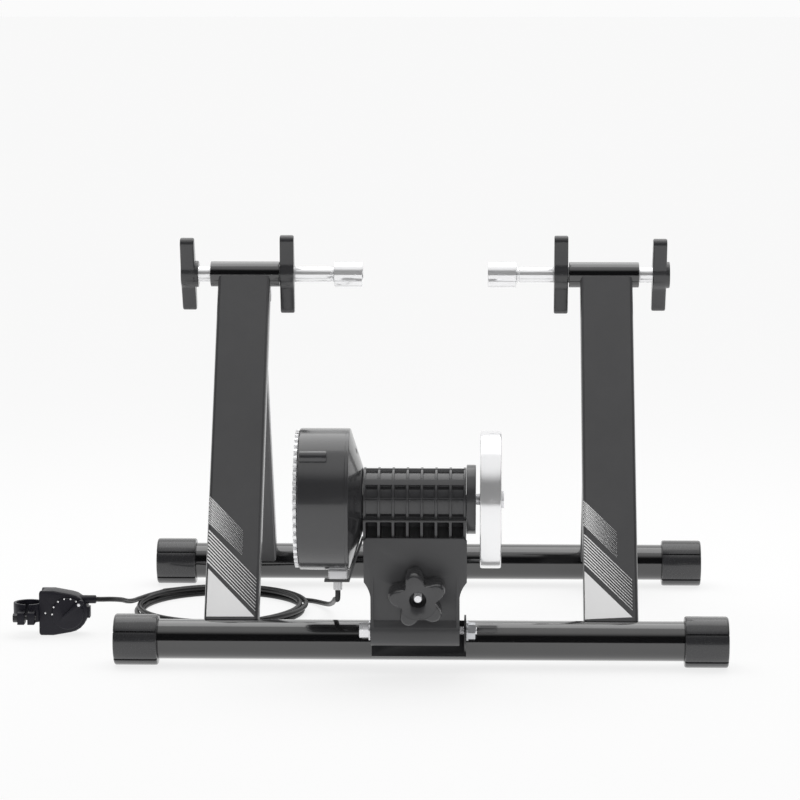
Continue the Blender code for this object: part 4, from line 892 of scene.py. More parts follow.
@dataclass
class FrameParts(Parts):
    """Floor tubes, cam feet and axle sleeves.

    Args:
        rows: each floor tube's name, place, body, and its feet's turn in degrees.
        tube: a floor tube's inner and outer radius, and its ends.
        sleeve: an axle sleeve's inner and outer radius.
        sleeve_ends: the left and the right sleeve's ends.
        lobes: the height of a foot's five unlike lobes.
        lobe_half: half a lobe's width in degrees, and lobe_fall how far its ends fall.
        groove: the radius of the grooves between lobes, and their edges in degrees.
        foot_ends: how far from the middle a foot starts and ends.
        foot_edge: (depth, scale) steps of a foot's rounded ends.
        socket: the radius of a foot's bore, its start and its end.
    """

    rows: tuple = (("rear", REAR_Y, Body.REAR, -9.0), ("front", FRONT_Y, Body.FRONT, -13.0))
    tube: tuple = (0.017, 0.019, -0.2882, 0.2882)
    sleeve: tuple = (0.00815, 0.01285)
    sleeve_ends: tuple = ((-0.2155, -0.1462), (0.1440, 0.2141))
    lobes: tuple = (0.025, 0.0246, 0.0242, 0.0240, 0.0244)
    lobe_half: float = 33.9
    lobe_fall: float = 0.0005
    groove: tuple = (0.0205, 34.1, 37.9)
    foot_ends: tuple = (0.2510, 0.2925)
    foot_edge: Section = ((0.0, 0.945), (0.0003, 0.968), (0.0009, 0.988), (0.0020, 1.0))
    socket: tuple = (0.0193, 0.2488, 0.2885)

    def build(self) -> None:
        """Make every piece of the two frames."""
        for row, y, body, turn in self.rows:
            self.shop.lathe(row + "_base_tube", bar(*self.tube), along_x(y, BAR_Z), body,
                            "gloss_black", Slot.PAINT, row + "_floor_tube")
            for side_name, side in SIDES:
                self.foot("foot_" + row + "_" + side_name, along_x(y, BAR_Z), side, turn)
        for (side_name, _), ends in zip(SIDES, self.sleeve_ends):
            self.shop.lathe("sleeve_" + side_name, bar(*self.sleeve, *ends),
                            along_x(0.0, AXLE_Z), Body.REAR, "gloss_black", Slot.PAINT,
                            "axle_sleeve_" + side_name, soft=0.0008)

    def foot(self, name: str, frame: Matrix, side: int, turn: float) -> None:
        """Make one cam foot: bulging lobes of unequal height with narrow grooves between them.

        Args:
            name: the foot's CAD node and body.
            frame: where w is the floor tube's axis.
            side: -1 or 1.
            turn: the foot's turn in degrees.
        """
        outline: Outline = []
        depth, *edges = self.groove
        for index, reach in enumerate(self.lobes):
            middle = turn - 90.0 + 72.0 * index
            for step in range(25):
                share = step / 12 - 1
                angle = math.radians(middle + self.lobe_half * share)
                outline.append(polar(reach - self.lobe_fall * share**2, angle))
            outline += [polar(depth, math.radians(middle + away)) for away in edges]
        low, high = sorted(side * end for end in self.foot_ends)
        levels = [(low + inward, scale) for inward, scale in self.foot_edge]
        levels += [(high - inward, scale) for inward, scale in reversed(self.foot_edge)]
        made = Form().loft(outline, levels, frame).object("cam_" + name)
        radius, *ends = self.socket
        bore = Form().pin(frame, radius, *sorted(side * end for end in ends))
        self.shop.cut(made, bore)
        self.shop.finish(made, name, "foot_rubber", Slot.FOOT, (name,), angle=34.0)


# Wheel clamps


@dataclass
class ClampParts(Parts):
    """Cups, spindles and winged knobs of both sides.

    Args:
        cup_section: a right cup's half section, with its conical socket and its groove.
        spindle_start: a right spindle's half section up to its groove.
        spindle_ends: the left and the right spindle's far end.
        thread: where the spindle's thread starts and ends, and its pitch.
        crest: the spindle's radius, and root the thread's.
        clamp_lows, lock_lows: the lower end of the left and the right knob along X.
        clamp_turn, lock_turn: how far the knobs are turned, in degrees.
        hub: the radius of a knob's hub, and height its thickness.
        wing_tip: the radius at a wing's tip, wing_root half its width at the hub.
        wing_reach: a wing's reach from the axis.
        flank: how far out a wing's flank runs, blend how softly it leaves the hub.
        soft: the rounding of a knob's edges, and boss_soft of its boss's.
        boss: the radius of the raised boss, its sink and its rise.
        knob_bore: the radius of a knob's bore, and cap what the left outer knob keeps under it.
    """

    cup_section: Section = (
        (0.0, 0.0768), (0.0085, 0.0768), (0.0100, 0.0700), (0.0104, 0.0628), (0.01285, 0.0628),
        (0.01285, 0.0913), (0.0053, 0.0913), (0.0053, 0.0823), (0.0, 0.0823),
    )
    spindle_start: Section = (
        (0.0, 0.0826), (0.005, 0.0826), (0.005, 0.0916), (0.0074, 0.0916), (0.00785, 0.0921),
        (0.00785, 0.0930), (0.0070, 0.0934), (0.0070, 0.0942), (0.00785, 0.0946),
    )
    spindle_ends: tuple = (0.2429, 0.2417)
    thread: tuple = (0.152, 0.208, 0.002)
    crest: float = 0.00785
    root: float = 0.00735
    clamp_lows: tuple = (-0.2451, 0.2275)
    lock_lows: tuple = (-0.1457, 0.1292)
    clamp_turn: float = 24.0
    lock_turn: float = 11.0
    hub: float = 0.0138
    height: float = 0.014
    wing_tip: float = 0.0065
    wing_root: float = 0.011
    wing_reach: float = 0.0405
    flank: float = 0.026
    blend: float = 0.0016
    soft: float = 0.0016
    boss_soft: float = 0.0012
    boss: tuple = (0.0133, 0.005, 0.0034)
    knob_bore: float = 0.00815
    cap: float = 0.003

    @property
    def axis(self) -> Matrix:
        """The wheel's axle."""
        return along_x(0.0, AXLE_Z)

    def build(self) -> None:
        """Make both sides."""
        for index, (side_name, side) in enumerate(SIDES):
            body = "axle_cup_" + side_name
            self.shop.lathe("bright_cup_" + side_name, mirrored(self.cup_section, side), self.axis,
                            body, "bright_plate", Slot.CHROME, "cup_" + side_name, soft=0.0009)
            self.spindle(side_name, side, self.spindle_ends[index])
            self.clamp_knob(side_name, self.clamp_lows[index])
            self.lock_knob(side_name, self.lock_lows[index])

    def spindle(self, side_name: str, side: int, far: float) -> None:
        """Make one bright spindle, smooth where it shows, with a fine thread in the sleeve.

        Args:
            side_name: left or right.
            side: -1 or 1.
            far: the spindle's outer end.
        """
        place, stop, pitch = self.thread
        half = list(self.spindle_start)
        while place < stop:
            half += [(self.crest, place), (self.root, place + pitch / 2)]
            place += pitch
        half += [(self.crest, place), (self.crest, far), (0.0, far)]
        name = "bright_spindle_" + side_name
        made = Form().turned(mirrored(half, side), self.axis, 64).object(name)
        self.shop.finish(made, "spindle_turn_" + side_name, "bright_plate", Slot.CHROME,
                         ("spindle_" + side_name,), angle=35.0)

    def wings(self, name: str, low: float, turn: float) -> bpy.types.Object:
        """Make the two-winged body of a hand knob, with a rounded outline.

        Args:
            name: the knob's name.
            low: its lower end along X.
            turn: how far it is turned, in degrees.

        Returns:
            The body, with its rounding queued.
        """
        tip = self.wing_reach - self.wing_tip
        quarter: Outline = []
        for step in range(25):
            u = self.flank * step / 24
            hub = math.sqrt(max(0.0, self.hub**2 - u * u))
            wing = self.wing_root + (self.wing_tip - self.wing_root) * u / tip
            soft = 0.5 * (hub + wing + math.hypot(hub - wing, self.blend)) - self.blend / 4
            quarter.append((u, min(soft, self.hub)))
        for step in range(15):
            aside, up = polar(self.wing_tip, math.pi / 2 * (1 - step / 14))
            quarter.append((tip + aside, up))
        half = quarter + [(u, -v) for u, v in reversed(quarter[:-1])]
        whole = half + [(-u, v) for u, v in half[-2:0:-1]]
        outline = turned_outline(whole, math.radians(90.0 + turn))
        made = Form().prism(outline, low, low + self.height, self.axis).object("winged_" + name)
        self.shop.round_off(made, self.soft, segments=4, angle=50.0)
        return made

    def bore(self, made: bpy.types.Object, low: float, high: float, body: str) -> None:
        """Bore a knob for the spindle and finish it.

        Args:
            made: the knob.
            low, high: the bore's ends.
            body: the body it rides on.
        """
        bore = Form().pin(self.axis, self.knob_bore, low, high)
        self.shop.cut(made, bore)
        node = made.name.removeprefix("winged_")
        self.shop.finish(made, body, "knob_plastic", Slot.KNOB, (node,), angle=40.0)

    def clamp_knob(self, side_name: str, low: float) -> None:
        """Make the outer knob that turns the spindle, with a raised boss.

        Args:
            side_name: left or right.
            low: its lower end along X.
        """
        made = self.wings("clamp_knob_" + side_name, low, self.clamp_turn)
        radius, sink, rise = self.boss
        high = low + self.height
        boss = Form().pin(self.axis, radius, high - sink, high + rise, self.boss_soft, 72)
        self.shop.join(made, boss)
        inward = (low + self.cap, high + rise + OVERCUT)
        ends = inward if side_name == "left" else (low - OVERCUT, high)
        self.bore(made, *ends, "spindle_turn_" + side_name)

    def lock_knob(self, side_name: str, low: float) -> None:
        """Make the inner knob that locks the spindle, bored all the way through.

        Args:
            side_name: left or right.
            low: its lower end along X.
        """
        made = self.wings("lock_knob_" + side_name, low, self.lock_turn)
        high = low + self.height
        self.bore(made, low - OVERCUT, high + OVERCUT, "lock_turn_" + side_name)


# Tilting unit


@dataclass
class HousingParts(Parts):
    """The ribbed shell around the roller, and its end cover.

    Args:
        left, right: the shell's ends.
        cells: spaces between its ring ribs, and wall their thickness.
        bore, shell, rib: radii of the shell's inside, its outside and its ribs.
        opening: where the shell's sweep starts, and how much of the round it leaves, in degrees.
        strips: lengthwise ribs by their elevations in degrees and outer radius.
        strip_root: the radius that those ribs stand on.
        slots: slots between those ribs, by their elevations in degrees.
        slot_depth: the slots' inner and outer radius, and slot_margin what each leaves of a cell.
        lip: the Y places of the rim over the roller, from its axis, and lip_low its lower height.
        front, back: the foot's faces, from the bracket's plane.
        bottom, top: the foot's heights up the bracket.
        window: the windows' lower height, the wall above them, corner radius, and depth.
        cover_section: the end cover's half section.
    """

    left: float = -0.0528
    right: float = 0.0432
    cells: int = 7
    wall: float = 0.0024
    bore: float = 0.020
    shell: float = 0.0275
    rib: float = 0.030
    opening: tuple = (84.0, 106.0)
    strips: tuple = (
        (35.0, 46.6, 0.0302), (5.4, 7.6, 0.0302), (9.0, 11.2, 0.0302), (-33.6, -29.0, 0.0300),
    )
    strip_root: float = 0.0262
    slots: tuple = ((28.0, 34.6), (-27.5, -21.0))
    slot_depth: tuple = (0.0235, 0.0292)
    slot_margin: float = 0.0004
    lip: tuple = (-0.006, -0.0025)
    lip_low: float = 0.0255
    front: float = 0.0027
    back: float = -0.052
    bottom: float = 0.078
    top: float = 0.1126
    window: tuple = (0.088, 0.0012, 0.001, 0.046)
    cover_section: Section = (
        (0.0133, 0.0435), (0.0325, 0.0435), (0.0325, 0.0522), (0.0300, 0.0522), (0.0290, 0.0514),
        (0.0150, 0.0514), (0.0142, 0.0522), (0.00575, 0.0522), (0.00575, 0.0507), (0.0133, 0.0507),
    )

    def build(self) -> None:
        """Make the shell and its cover."""
        self.housing()
        self.shop.lathe("end_cover", self.cover_section, along_x(*UNIT), Body.UNIT,
                        "housing_plastic", Slot.HOUSING, "end_flange", soft=0.0009)

    def ribs(self) -> list[float]:
        """The X places of the ring ribs."""
        pitch = (self.right - self.left - self.wall) / self.cells
        return [self.left + self.wall / 2 + pitch * index for index in range(self.cells + 1)]

    def band(self, first: float, last: float, inner: float, outer: float) -> Outline:
        """A slice of a ring on the side that faces the rear.

        Args:
            first, last: its elevations in degrees.
            inner, outer: its radii.

        Returns:
            The slice's outline.
        """
        turns = [math.radians(180.0 - first - (last - first) * step / 6) for step in range(7)]
        return [polar(outer, turn) for turn in turns] + [polar(inner, turn) for turn in turns[::-1]]

    def barrel(self) -> bpy.types.Object:
        """Make the open barrel with its ring ribs.

        Returns:
            The barrel, to which the rest is joined.
        """
        ribs = self.ribs()
        profile: Outline = [(self.bore, self.left)]
        for place in ribs:
            low, high = place - self.wall / 2, place + self.wall / 2
            profile += [(self.shell, low)] if place != ribs[0] else []
            profile += [(self.rib, low), (self.rib, high)]
            profile += [(self.shell, high)] if place != ribs[-1] else []
        profile.append((self.bore, self.right))
        start, gap = (math.radians(angle) for angle in self.opening)
        soft = rounded(profile, 0.0005, 2)
        form = Form().turned(soft, along_x(*UNIT), 72, start, math.tau - gap)
        return form.object("ribbed_housing")

    def bracing(self, start: float, stop: float) -> Form:
        """Make the lengthwise ribs and the rim over the roller.

        Args:
            start, stop: their ends along X.

        Returns:
            The form that holds them.
        """
        form = Form()
        for first, last, outer in self.strips:
            strip = self.band(first, last, self.strip_root, outer)
            form.prism(strip, start, stop, along_x(*UNIT))
        rise = self.rib * math.sin(math.radians(self.opening[0]))
        low, high = (UNIT[0] + reach for reach in self.lip)
        return form.block((start, low, UNIT[1] + self.lip_low), (stop, high, UNIT[1] + rise))

    def windows(self) -> Form:
        """Make what cuts the foot's deep windows and the barrel's slots between the ribs.

        Returns:
            The form that holds them.
        """
        base, lintel, corner, depth = self.window
        form = Form()
        ribs = self.ribs()
        for first, second in zip(ribs, ribs[1:]):
            low, high = first + self.wall / 2, second - self.wall / 2
            across = (low + corner, high - corner)
            heights = (base + corner, self.top - lintel - corner)
            outline = hull([(u, v, corner) for v in heights for u in across], 12)
            form.prism(outline, self.front - depth, self.front + OVERCUT, plate_plane())
            for bottom, edge in self.slots:
                slot = self.band(bottom, edge, *self.slot_depth)
                ends = (low + self.slot_margin, high - self.slot_margin)
                form.prism(slot, *ends, along_x(*UNIT))
        return form

    def housing(self) -> None:
        """Make the ribbed shell with its foot."""
        made = self.barrel()
        half = self.wall / 2
        self.shop.join(made, self.bracing(self.left + half, self.right - half))
        outline = [
            (self.front, self.bottom), (self.front, self.top - 0.001),
            (self.front - 0.0015, self.top), (self.back, self.top),
            (self.back, self.bottom + 0.010), (self.back + 0.010, self.bottom),
        ]
        foot = Form().prism(outline, self.left, self.right, plate_across())
        self.shop.join(made, foot)
        ends = (self.left - OVERCUT, self.right + OVERCUT)
        bore = Form().pin(along_x(*UNIT), self.bore, *ends, steps=72)
        self.shop.cut(made, bore)
        self.shop.cut(made, self.windows())
        self.shop.finish(made, Body.UNIT, "housing_plastic", Slot.HOUSING, ("roller_housing",),
                         angle=28.0)


@dataclass
class DrumParts(Parts):
    """The brake's satin drum and the screws in its cone.

    Args:
        section: the drum's half section, from its hub out to its open mouth and back.
        soft: the rounding of its corners.
        mouth: inner and outer radius and ends of what the open mouth leaves free.
        rib_height: how far above the axis the moulded rib runs, rib its radius, ends, corner
            radius and facets, and rib_sink how deep its axis lies in the wall.
        screw_angles: the screws' places round the cone, in degrees.
        screw_spot: a screw's X place and distance from the axis.
        screw_section: a screw head's half section, with its recess.
        slope: the cone's normal along X and outwards.
    """

    section: Section = (
        (0.0133, -0.080), (0.0165, -0.080), (0.0165, -0.0591), (0.0255, -0.0591),
        (0.0635, -0.0687), (0.0635, -0.1124), (0.0665, -0.1124), (0.0665, -0.0692),
        (0.0662, -0.0689), (0.0665, -0.0686), (0.0665, -0.0657), (0.0285, -0.0531),
        (0.00575, -0.0531), (0.00575, -0.0558), (0.0133, -0.0558),
    )
    soft: float = 0.0011
    mouth: tuple = (0.052, 0.0635, -0.1175, -0.083)
    rib_height: float = 0.0462
    rib: tuple = (0.006, -0.1110, -0.0856, 0.0012, 48)
    rib_sink: float = 0.001
    screw_angles: tuple = (100.0, 172.0, 244.0)
    screw_spot: tuple = (-0.0600, 0.0475)
    screw_section: Section = (
        (0.0, -0.001), (0.0030, -0.001), (0.0030, 0.0006), (0.0016, 0.0008), (0.0014, 0.0001),
        (0.0, 0.0001),
    )
    slope: tuple = (0.949, 0.315)

    def build(self) -> None:
        """Make the drum and its screws."""
        axis = along_x(*UNIT)
        form = Form().turned(rounded(self.section, self.soft), axis, 160)
        made = form.object("satin_drum")
        radius = max(reach for reach, _ in self.section)
        back = math.sqrt(radius**2 - self.rib_height**2) - self.rib_sink
        rib = Form().pin(along_x(UNIT[0] - back, UNIT[1] + self.rib_height), *self.rib)
        self.shop.join(made, rib)
        self.shop.cut(made, Form().turned(bar(*self.mouth), axis, 160))
        self.shop.finish(made, Body.UNIT, "drum_plastic", Slot.HOUSING, ("drum_casing",),
                         angle=34.0)
        screws = Form()
        for degrees in self.screw_angles:
            screws.turned(rounded(self.screw_section, 0.0003), self.seat(degrees), 32)
        made = screws.object("cone_screws")
        self.shop.finish(made, Body.UNIT, "black_oxide", Slot.BRACKET)

    def seat(self, degrees: float) -> Matrix:
        """Where a screw sits on the cone.

        Args:
            degrees: its place round the axis.

        Returns:
            The frame, with w out of the cone.
        """
        turn = math.radians(degrees)
        x, reach = self.screw_spot
        y, z = polar(reach, turn)
        normal = Vector((self.slope[0], *polar(self.slope[1], turn))).normalized()
        spot = Vector((x, UNIT[0] + y, UNIT[1] + z)) + SHIFT
        return Matrix.Translation(spot) @ normal.to_track_quat("Z", "X").to_matrix().to_4x4()


class Pattern:
    """A Geometry Nodes pattern: copies of a form on points, baked to one plain mesh.

    Args:
        name: the name of the tree and of the baked object.
        inputs: input name to socket type, apart from the finish.
    """

    def __init__(self, name: str, inputs: dict[str, str]) -> None:
        self.name = name
        self.tree = bpy.data.node_groups.new(name, "GeometryNodeTree")
        self.sockets: dict[str, str] = {}
        for key, kind in {**inputs, "Finish": "NodeSocketMaterial"}.items():
            socket = self.tree.interface.new_socket(key, in_out="INPUT", socket_type=kind)
            self.sockets[key] = socket.identifier
        kind = "NodeSocketGeometry"
        self.tree.interface.new_socket("Geometry", in_out="OUTPUT", socket_type=kind)
        self.graph = Graph(self.tree)
        self.given = self.graph.add("NodeGroupInput").outputs

    def place(self, points: Feed, form: Feed, **placed: Feed) -> None:
        """End the tree: set the form on the points, make it real, and give it the finish.

        Args:
            points: where the copies go.
            form: what is copied.
            placed: the copies' rotation or scale.
        """
        inputs = {"Points": points, "Instance": form, **placed}
        copies = self.graph.add("GeometryNodeInstanceOnPoints", inputs).outputs[0]
        real = self.graph.add("GeometryNodeRealizeInstances", {0: copies}).outputs[0]
        inputs = {"Geometry": real, "Material": self.given["Finish"]}
        done = self.graph.add("GeometryNodeSetMaterial", inputs).outputs[0]
        self.graph.add("NodeGroupOutput", {0: done})

    def bake(self, shop: Workshop, mesh: bpy.types.Mesh, **values: object) -> bpy.types.Object:
        """Run the tree on a mesh.

        Args:
            shop: bakes the result.
            mesh: the mesh that the tree starts from.
            values: input name to value.

        Returns:
            The object with the pattern as a plain mesh.
        """
        holder = linked(self.name, mesh)
        step = holder.modifiers.new("pattern", "NODES")
        step.node_group = self.tree
        for key, value in values.items():
            step[self.sockets[key]] = value
        return shop.bake(holder)


def ring_pattern(name: str) -> Pattern:
    """Make the pattern that sets copies of one form round the X axis.

    Args:
        name: the name of the baked object.

    Returns:
        The pattern, with its form, count and centre as inputs.
    """
    inputs = {"Form": "NodeSocketObject", "Count": "NodeSocketInt", "Centre": "NodeSocketVector"}
    made = Pattern(name, inputs)
    graph, given = made.graph, made.given
    points = {"Count": given["Count"], "Position": given["Centre"]}
    points = graph.add("GeometryNodePoints", points).outputs[0]
    index = graph.add("GeometryNodeInputIndex").outputs[0]
    angle = graph.math("MULTIPLY", graph.math("DIVIDE", index, given["Count"]), math.tau)
    turn = graph.add("ShaderNodeCombineXYZ", {"X": angle}).outputs[0]
    form = graph.add("GeometryNodeObjectInfo", {"Object": given["Form"]}).outputs["Geometry"]
    made.place(points, form, Rotation=turn)
    return made


def dot_pattern(name: str) -> Pattern:
    """Make the pattern that sets a thin disc on every point, by the point's own size.

    Args:
        name: the name of the baked object.

    Returns:
        The pattern, with its points and the largest radius as inputs.
    """
    made = Pattern(name, {"Points": "NodeSocketGeometry", "Radius": "NodeSocketFloat"})
    graph, given = made.graph, made.given
    sizes = {"Vertices": 8, "Radius": given["Radius"], "Depth": 2 * INK}
    disc = graph.add("GeometryNodeMeshCylinder", sizes).outputs[0]
    named = {"Name": "size"}
    size = graph.add("GeometryNodeInputNamedAttribute", named, data_type="FLOAT").outputs[0]
    made.place(given["Points"], disc, Scale=size)
    return made


@dataclass
class RotorParts(Parts):
    """What spins with the roller: finned disc, flywheel, shaft and the roller itself.

    Args:
        bore: the radius that fits the shaft.
        disc: the brake disc's faces, and disc_radius its rim.
        hub: the radius of its hub and the hub's ends.
        fins: how many fins stand round the rim.
        fin_corners: a fin's section as circles (u, v, radius).
        web: the flywheel's faces, its rim, and its web's inner and outer radius.
        dish: how deep the web lies.
        shaft: the shaft's radius and ends.
        grip: the roller's end radius, its ridges' and its grooves'.
        grip_ends: the roller's ends and its first and last groove.
        ridge: a ridge's width, its end, the groove's end, and the pitch.
    """

    bore: float = 0.00555
    disc: tuple = (-0.1167, -0.1132)
    disc_radius: float = 0.0592
    hub: tuple = (0.011, -0.1187, -0.084)
    fins: int = 46
    fin_corners: tuple = (
        (0.0590, 0.0, 0.0), (0.0590, 0.0042, 0.0), (0.0590, -0.0006, 0.0),
        (0.0640, -0.0001, 0.0005), (0.0640, 0.0031, 0.0005),
    )
    web: tuple = (0.0562, 0.076, 0.0645, 0.016, 0.0525)
    dish: float = 0.003
    shaft: tuple = (0.00525, -0.1192, 0.0785)
    grip: tuple = (0.0150, 0.0155, 0.0151)
    grip_ends: tuple = (-0.0498, 0.0402, -0.0470, 0.0365)
    ridge: tuple = (0.0026, 0.0028, 0.0032, 0.0034)

    @property
    def axis(self) -> Matrix:
        """The roller's axis."""
        return along_x(*UNIT)

    def build(self) -> None:
        """Make every turning piece."""
        self.brake_disc()
        self.flywheel()
        self.shop.lathe("ground_shaft", bar(0.0, *self.shaft), self.axis, Body.ROTOR,
                        "zinc_plate", Slot.BEARING, "shaft", soft=0.0007)
        self.roller()

    def brake_disc(self) -> None:
        """Make the aluminium disc; Geometry Nodes set its cooling fins round the rim."""
        low, high = self.disc
        reach, start, stop = self.hub
        profile = [
            (self.bore, start), (reach, start), (reach, low), (self.disc_radius, low),
            (self.disc_radius, high), (reach, high), (reach, stop), (self.bore, stop),
        ]
        form = Form().turned(rounded(profile, 0.0004), self.axis, 128)
        made = form.object("brake_disc")
        across = Matrix(((0, 0, 1, 0), (1, 0, 0, 0), (0, 1, 0, 0), (0, 0, 0, 1)))
        fin = Form().prism(hull(self.fin_corners, 12), low, high, across).object("fin_form")
        centre = Vector((0.0, *UNIT)) + SHIFT
        ring = ring_pattern("cooling_fins").bake(
            self.shop, bpy.data.meshes.new("cooling_fins"), Form=fin, Count=self.fins,
            Centre=tuple(centre), Finish=self.shop.finishes["cast_aluminium"],
        )
        bpy.data.objects.remove(fin)
        look = (Body.ROTOR, "cast_aluminium", Slot.ALUMINIUM)
        self.shop.finish(made, *look, ("finned_disc",))
        self.shop.finish(ring, *look)

    def flywheel(self) -> None:
        """Make the bright turned flywheel with a dished web on both faces."""
        low, high, rim, inner, outer = self.web
        dish = self.dish
        profile = [
            (self.bore, low), (inner, low), (inner + dish, low + dish), (outer - dish, low + dish),
            (outer, low), (rim, low), (rim, high), (outer, high), (outer - dish, high - dish),
            (inner + dish, high - dish), (inner, high), (self.bore, high),
        ]
        self.shop.lathe("bright_flywheel", profile, self.axis, Body.ROTOR, "flywheel_steel",
                        Slot.FLYWHEEL, "flywheel", soft=0.0022, steps=192)

    def roller(self) -> None:
        """Make the rubber roller with fine grooves round it."""
        end, crest, root = self.grip
        start, stop, place, last = self.grip_ends
        width, fall, rise, pitch = self.ridge
        half = [(self.bore, start), (end, start)]
        while place < last:
            half += [(crest, place), (crest, place + width), (root, place + fall),
                     (root, place + rise)]
            place += pitch
        half += [(end, stop), (self.bore, stop)]
        made = Form().turned(half, self.axis, 96).object("grooved_roller")
        self.shop.finish(made, Body.ROTOR, "roller_rubber", Slot.ROLLER, ("tyre_roller",))


@dataclass
class TensionParts(Parts):
    """The star knob that tilts the unit, its stud, and the bolt that the unit tilts on.

    Args:
        lobes: the star knob's mean radius, its lobes' height and what flattens their tips.
        knob_turn: how far the knob is turned, in degrees.
        knob_levels: (w, scale) steps of its rolled edges.
        collar: the pin of its collar.
        bore_section: the half section of its bore and round recess.
        bolt_pins, stud_pins: radius, ends, corner radius and facets of each round length.
        bolt_head: across flats and ends of the bolt's head, and head_turn its angle.
        thread: the threads' radius, and bolt_thread and stud_thread their ends.
        stud_tip: the half section of the stud's tip.
    """

    lobes: tuple = (0.0233, 0.0052, 0.0006)
    knob_turn: float = 28.0
    knob_levels: Section = (
        (0.0165, 0.88), (0.0172, 0.93), (0.0190, 0.975), (0.0215, 1.0), (0.0335, 1.0),
        (0.0360, 0.975), (0.0378, 0.93), (0.0384, 0.88),
    )
    collar: tuple = (0.0095, 0.0082, 0.021, 0.0008)
    bore_section: Section = (
        (0.0, 0.0062), (0.0043, 0.0062), (0.0043, 0.018), (0.008, 0.018), (0.008, 0.0350),
        (0.0096, 0.0362), (0.0185, 0.0382), (0.0185, 0.041), (0.0, 0.041),
    )
    bolt_pins: tuple = (
        (0.0034, -0.048, 0.0535, 0.0, 40),
        (0.004, -0.0482, 0.034, 0.0004, 40),
        (0.0095, -0.0484, -0.0466, 0.0004, 56),
    )
    bolt_head: tuple = (0.014, -0.0572, -0.0484)
    head_turn: float = 0.25
    thread: float = 0.004
    bolt_thread: tuple = (0.0346, 0.0528)
    stud_pins: tuple = (
        (0.0034, -0.018, 0.0322, 0.0, 40),
        (0.0095, -0.0213, -0.0173, 0.0016, 56),
        (0.004, -0.0176, -0.0135, 0.0003, 40),
    )
    stud_tip: Section = ((0.0, 0.0316), (0.0038, 0.0316), (0.0036, 0.0322), (0.0, 0.0322))
    stud_thread: tuple = (-0.0130, 0.0312)

    @property
    def axis(self) -> Matrix:
        """The stud's axis, out of the bracket's front."""
        return plate_plane(TENSION_X, STUD_ALONG)

    def build(self) -> None:
        """Make the knob, the bolt and the stud."""
        self.star_knob()
        frame = along_x(*PIVOT)
        bolt = self.fastener(self.bolt_pins, self.bolt_thread, frame)
        bolt.hexagon(*self.bolt_head, frame, self.head_turn)
        self.shop.finish(bolt.object("threaded_pivot_bolt"), Body.REAR, "zinc_plate", Slot.ZINC,
                         ("pivot_bolt",), angle=28.0)
        stud = self.fastener(self.stud_pins, self.stud_thread, self.axis)
        stud.turned(rounded(self.stud_tip, 0.0002), self.axis, 40)
        self.shop.finish(stud.object("threaded_stud"), Body.REAR, "zinc_plate", Slot.ZINC,
                         ("tension_stud",), angle=28.0)

    def fastener(self, pins: tuple, ends: tuple, frame: Matrix) -> Form:
        """Start a fastener with its round lengths and its thread.

        Args:
            pins: each length's radius, ends, corner radius and facets.
            ends: where the thread starts and stops.
            frame: where w is the axis.

        Returns:
            The form.
        """
        form = Form()
        for pin in pins:
            form.pin(frame, *pin)
        return form.thread(self.thread, *ends, frame)

    def star_knob(self) -> None:
        """Make the five-lobed knob with rolled edges and a deep round recess."""
        mean, swell, flat = self.lobes
        outline: Outline = []
        for angle in around(200):
            radius = mean + swell * math.cos(5 * angle) - flat * math.cos(10 * angle)
            outline.append(polar(radius, angle))
        outline = turned_outline(outline, math.radians(self.knob_turn))
        made = Form().loft(outline, self.knob_levels, self.axis).object("star_knob")
        self.shop.join(made, Form().pin(self.axis, *self.collar))
        bore = Form().turned(self.bore_section, self.axis, 64)
        self.shop.cut(made, bore)
        self.shop.finish(made, Body.KNOB, "knob_plastic", Slot.KNOB, ("tension_knob",), angle=45.0)


# Printed bands on the uprights


@dataclass(frozen=True)
class Field:
    """A slanted area on an upright's near face, by its edges' heights.

    Args:
        left, right: distances from the upright's middle.
        top, low: heights up the upright at the left edge.
        top_right, low_right: heights at the right edge.
    """

    left: float
    right: float
    top: float
    low: float
    top_right: float
    low_right: float

    def heights(self, share: float) -> tuple[float, float]:
        """The upper and lower height at a share of the way from left to right."""
        return (self.top + share * (self.top_right - self.top),
                self.low + share * (self.low_right - self.low))


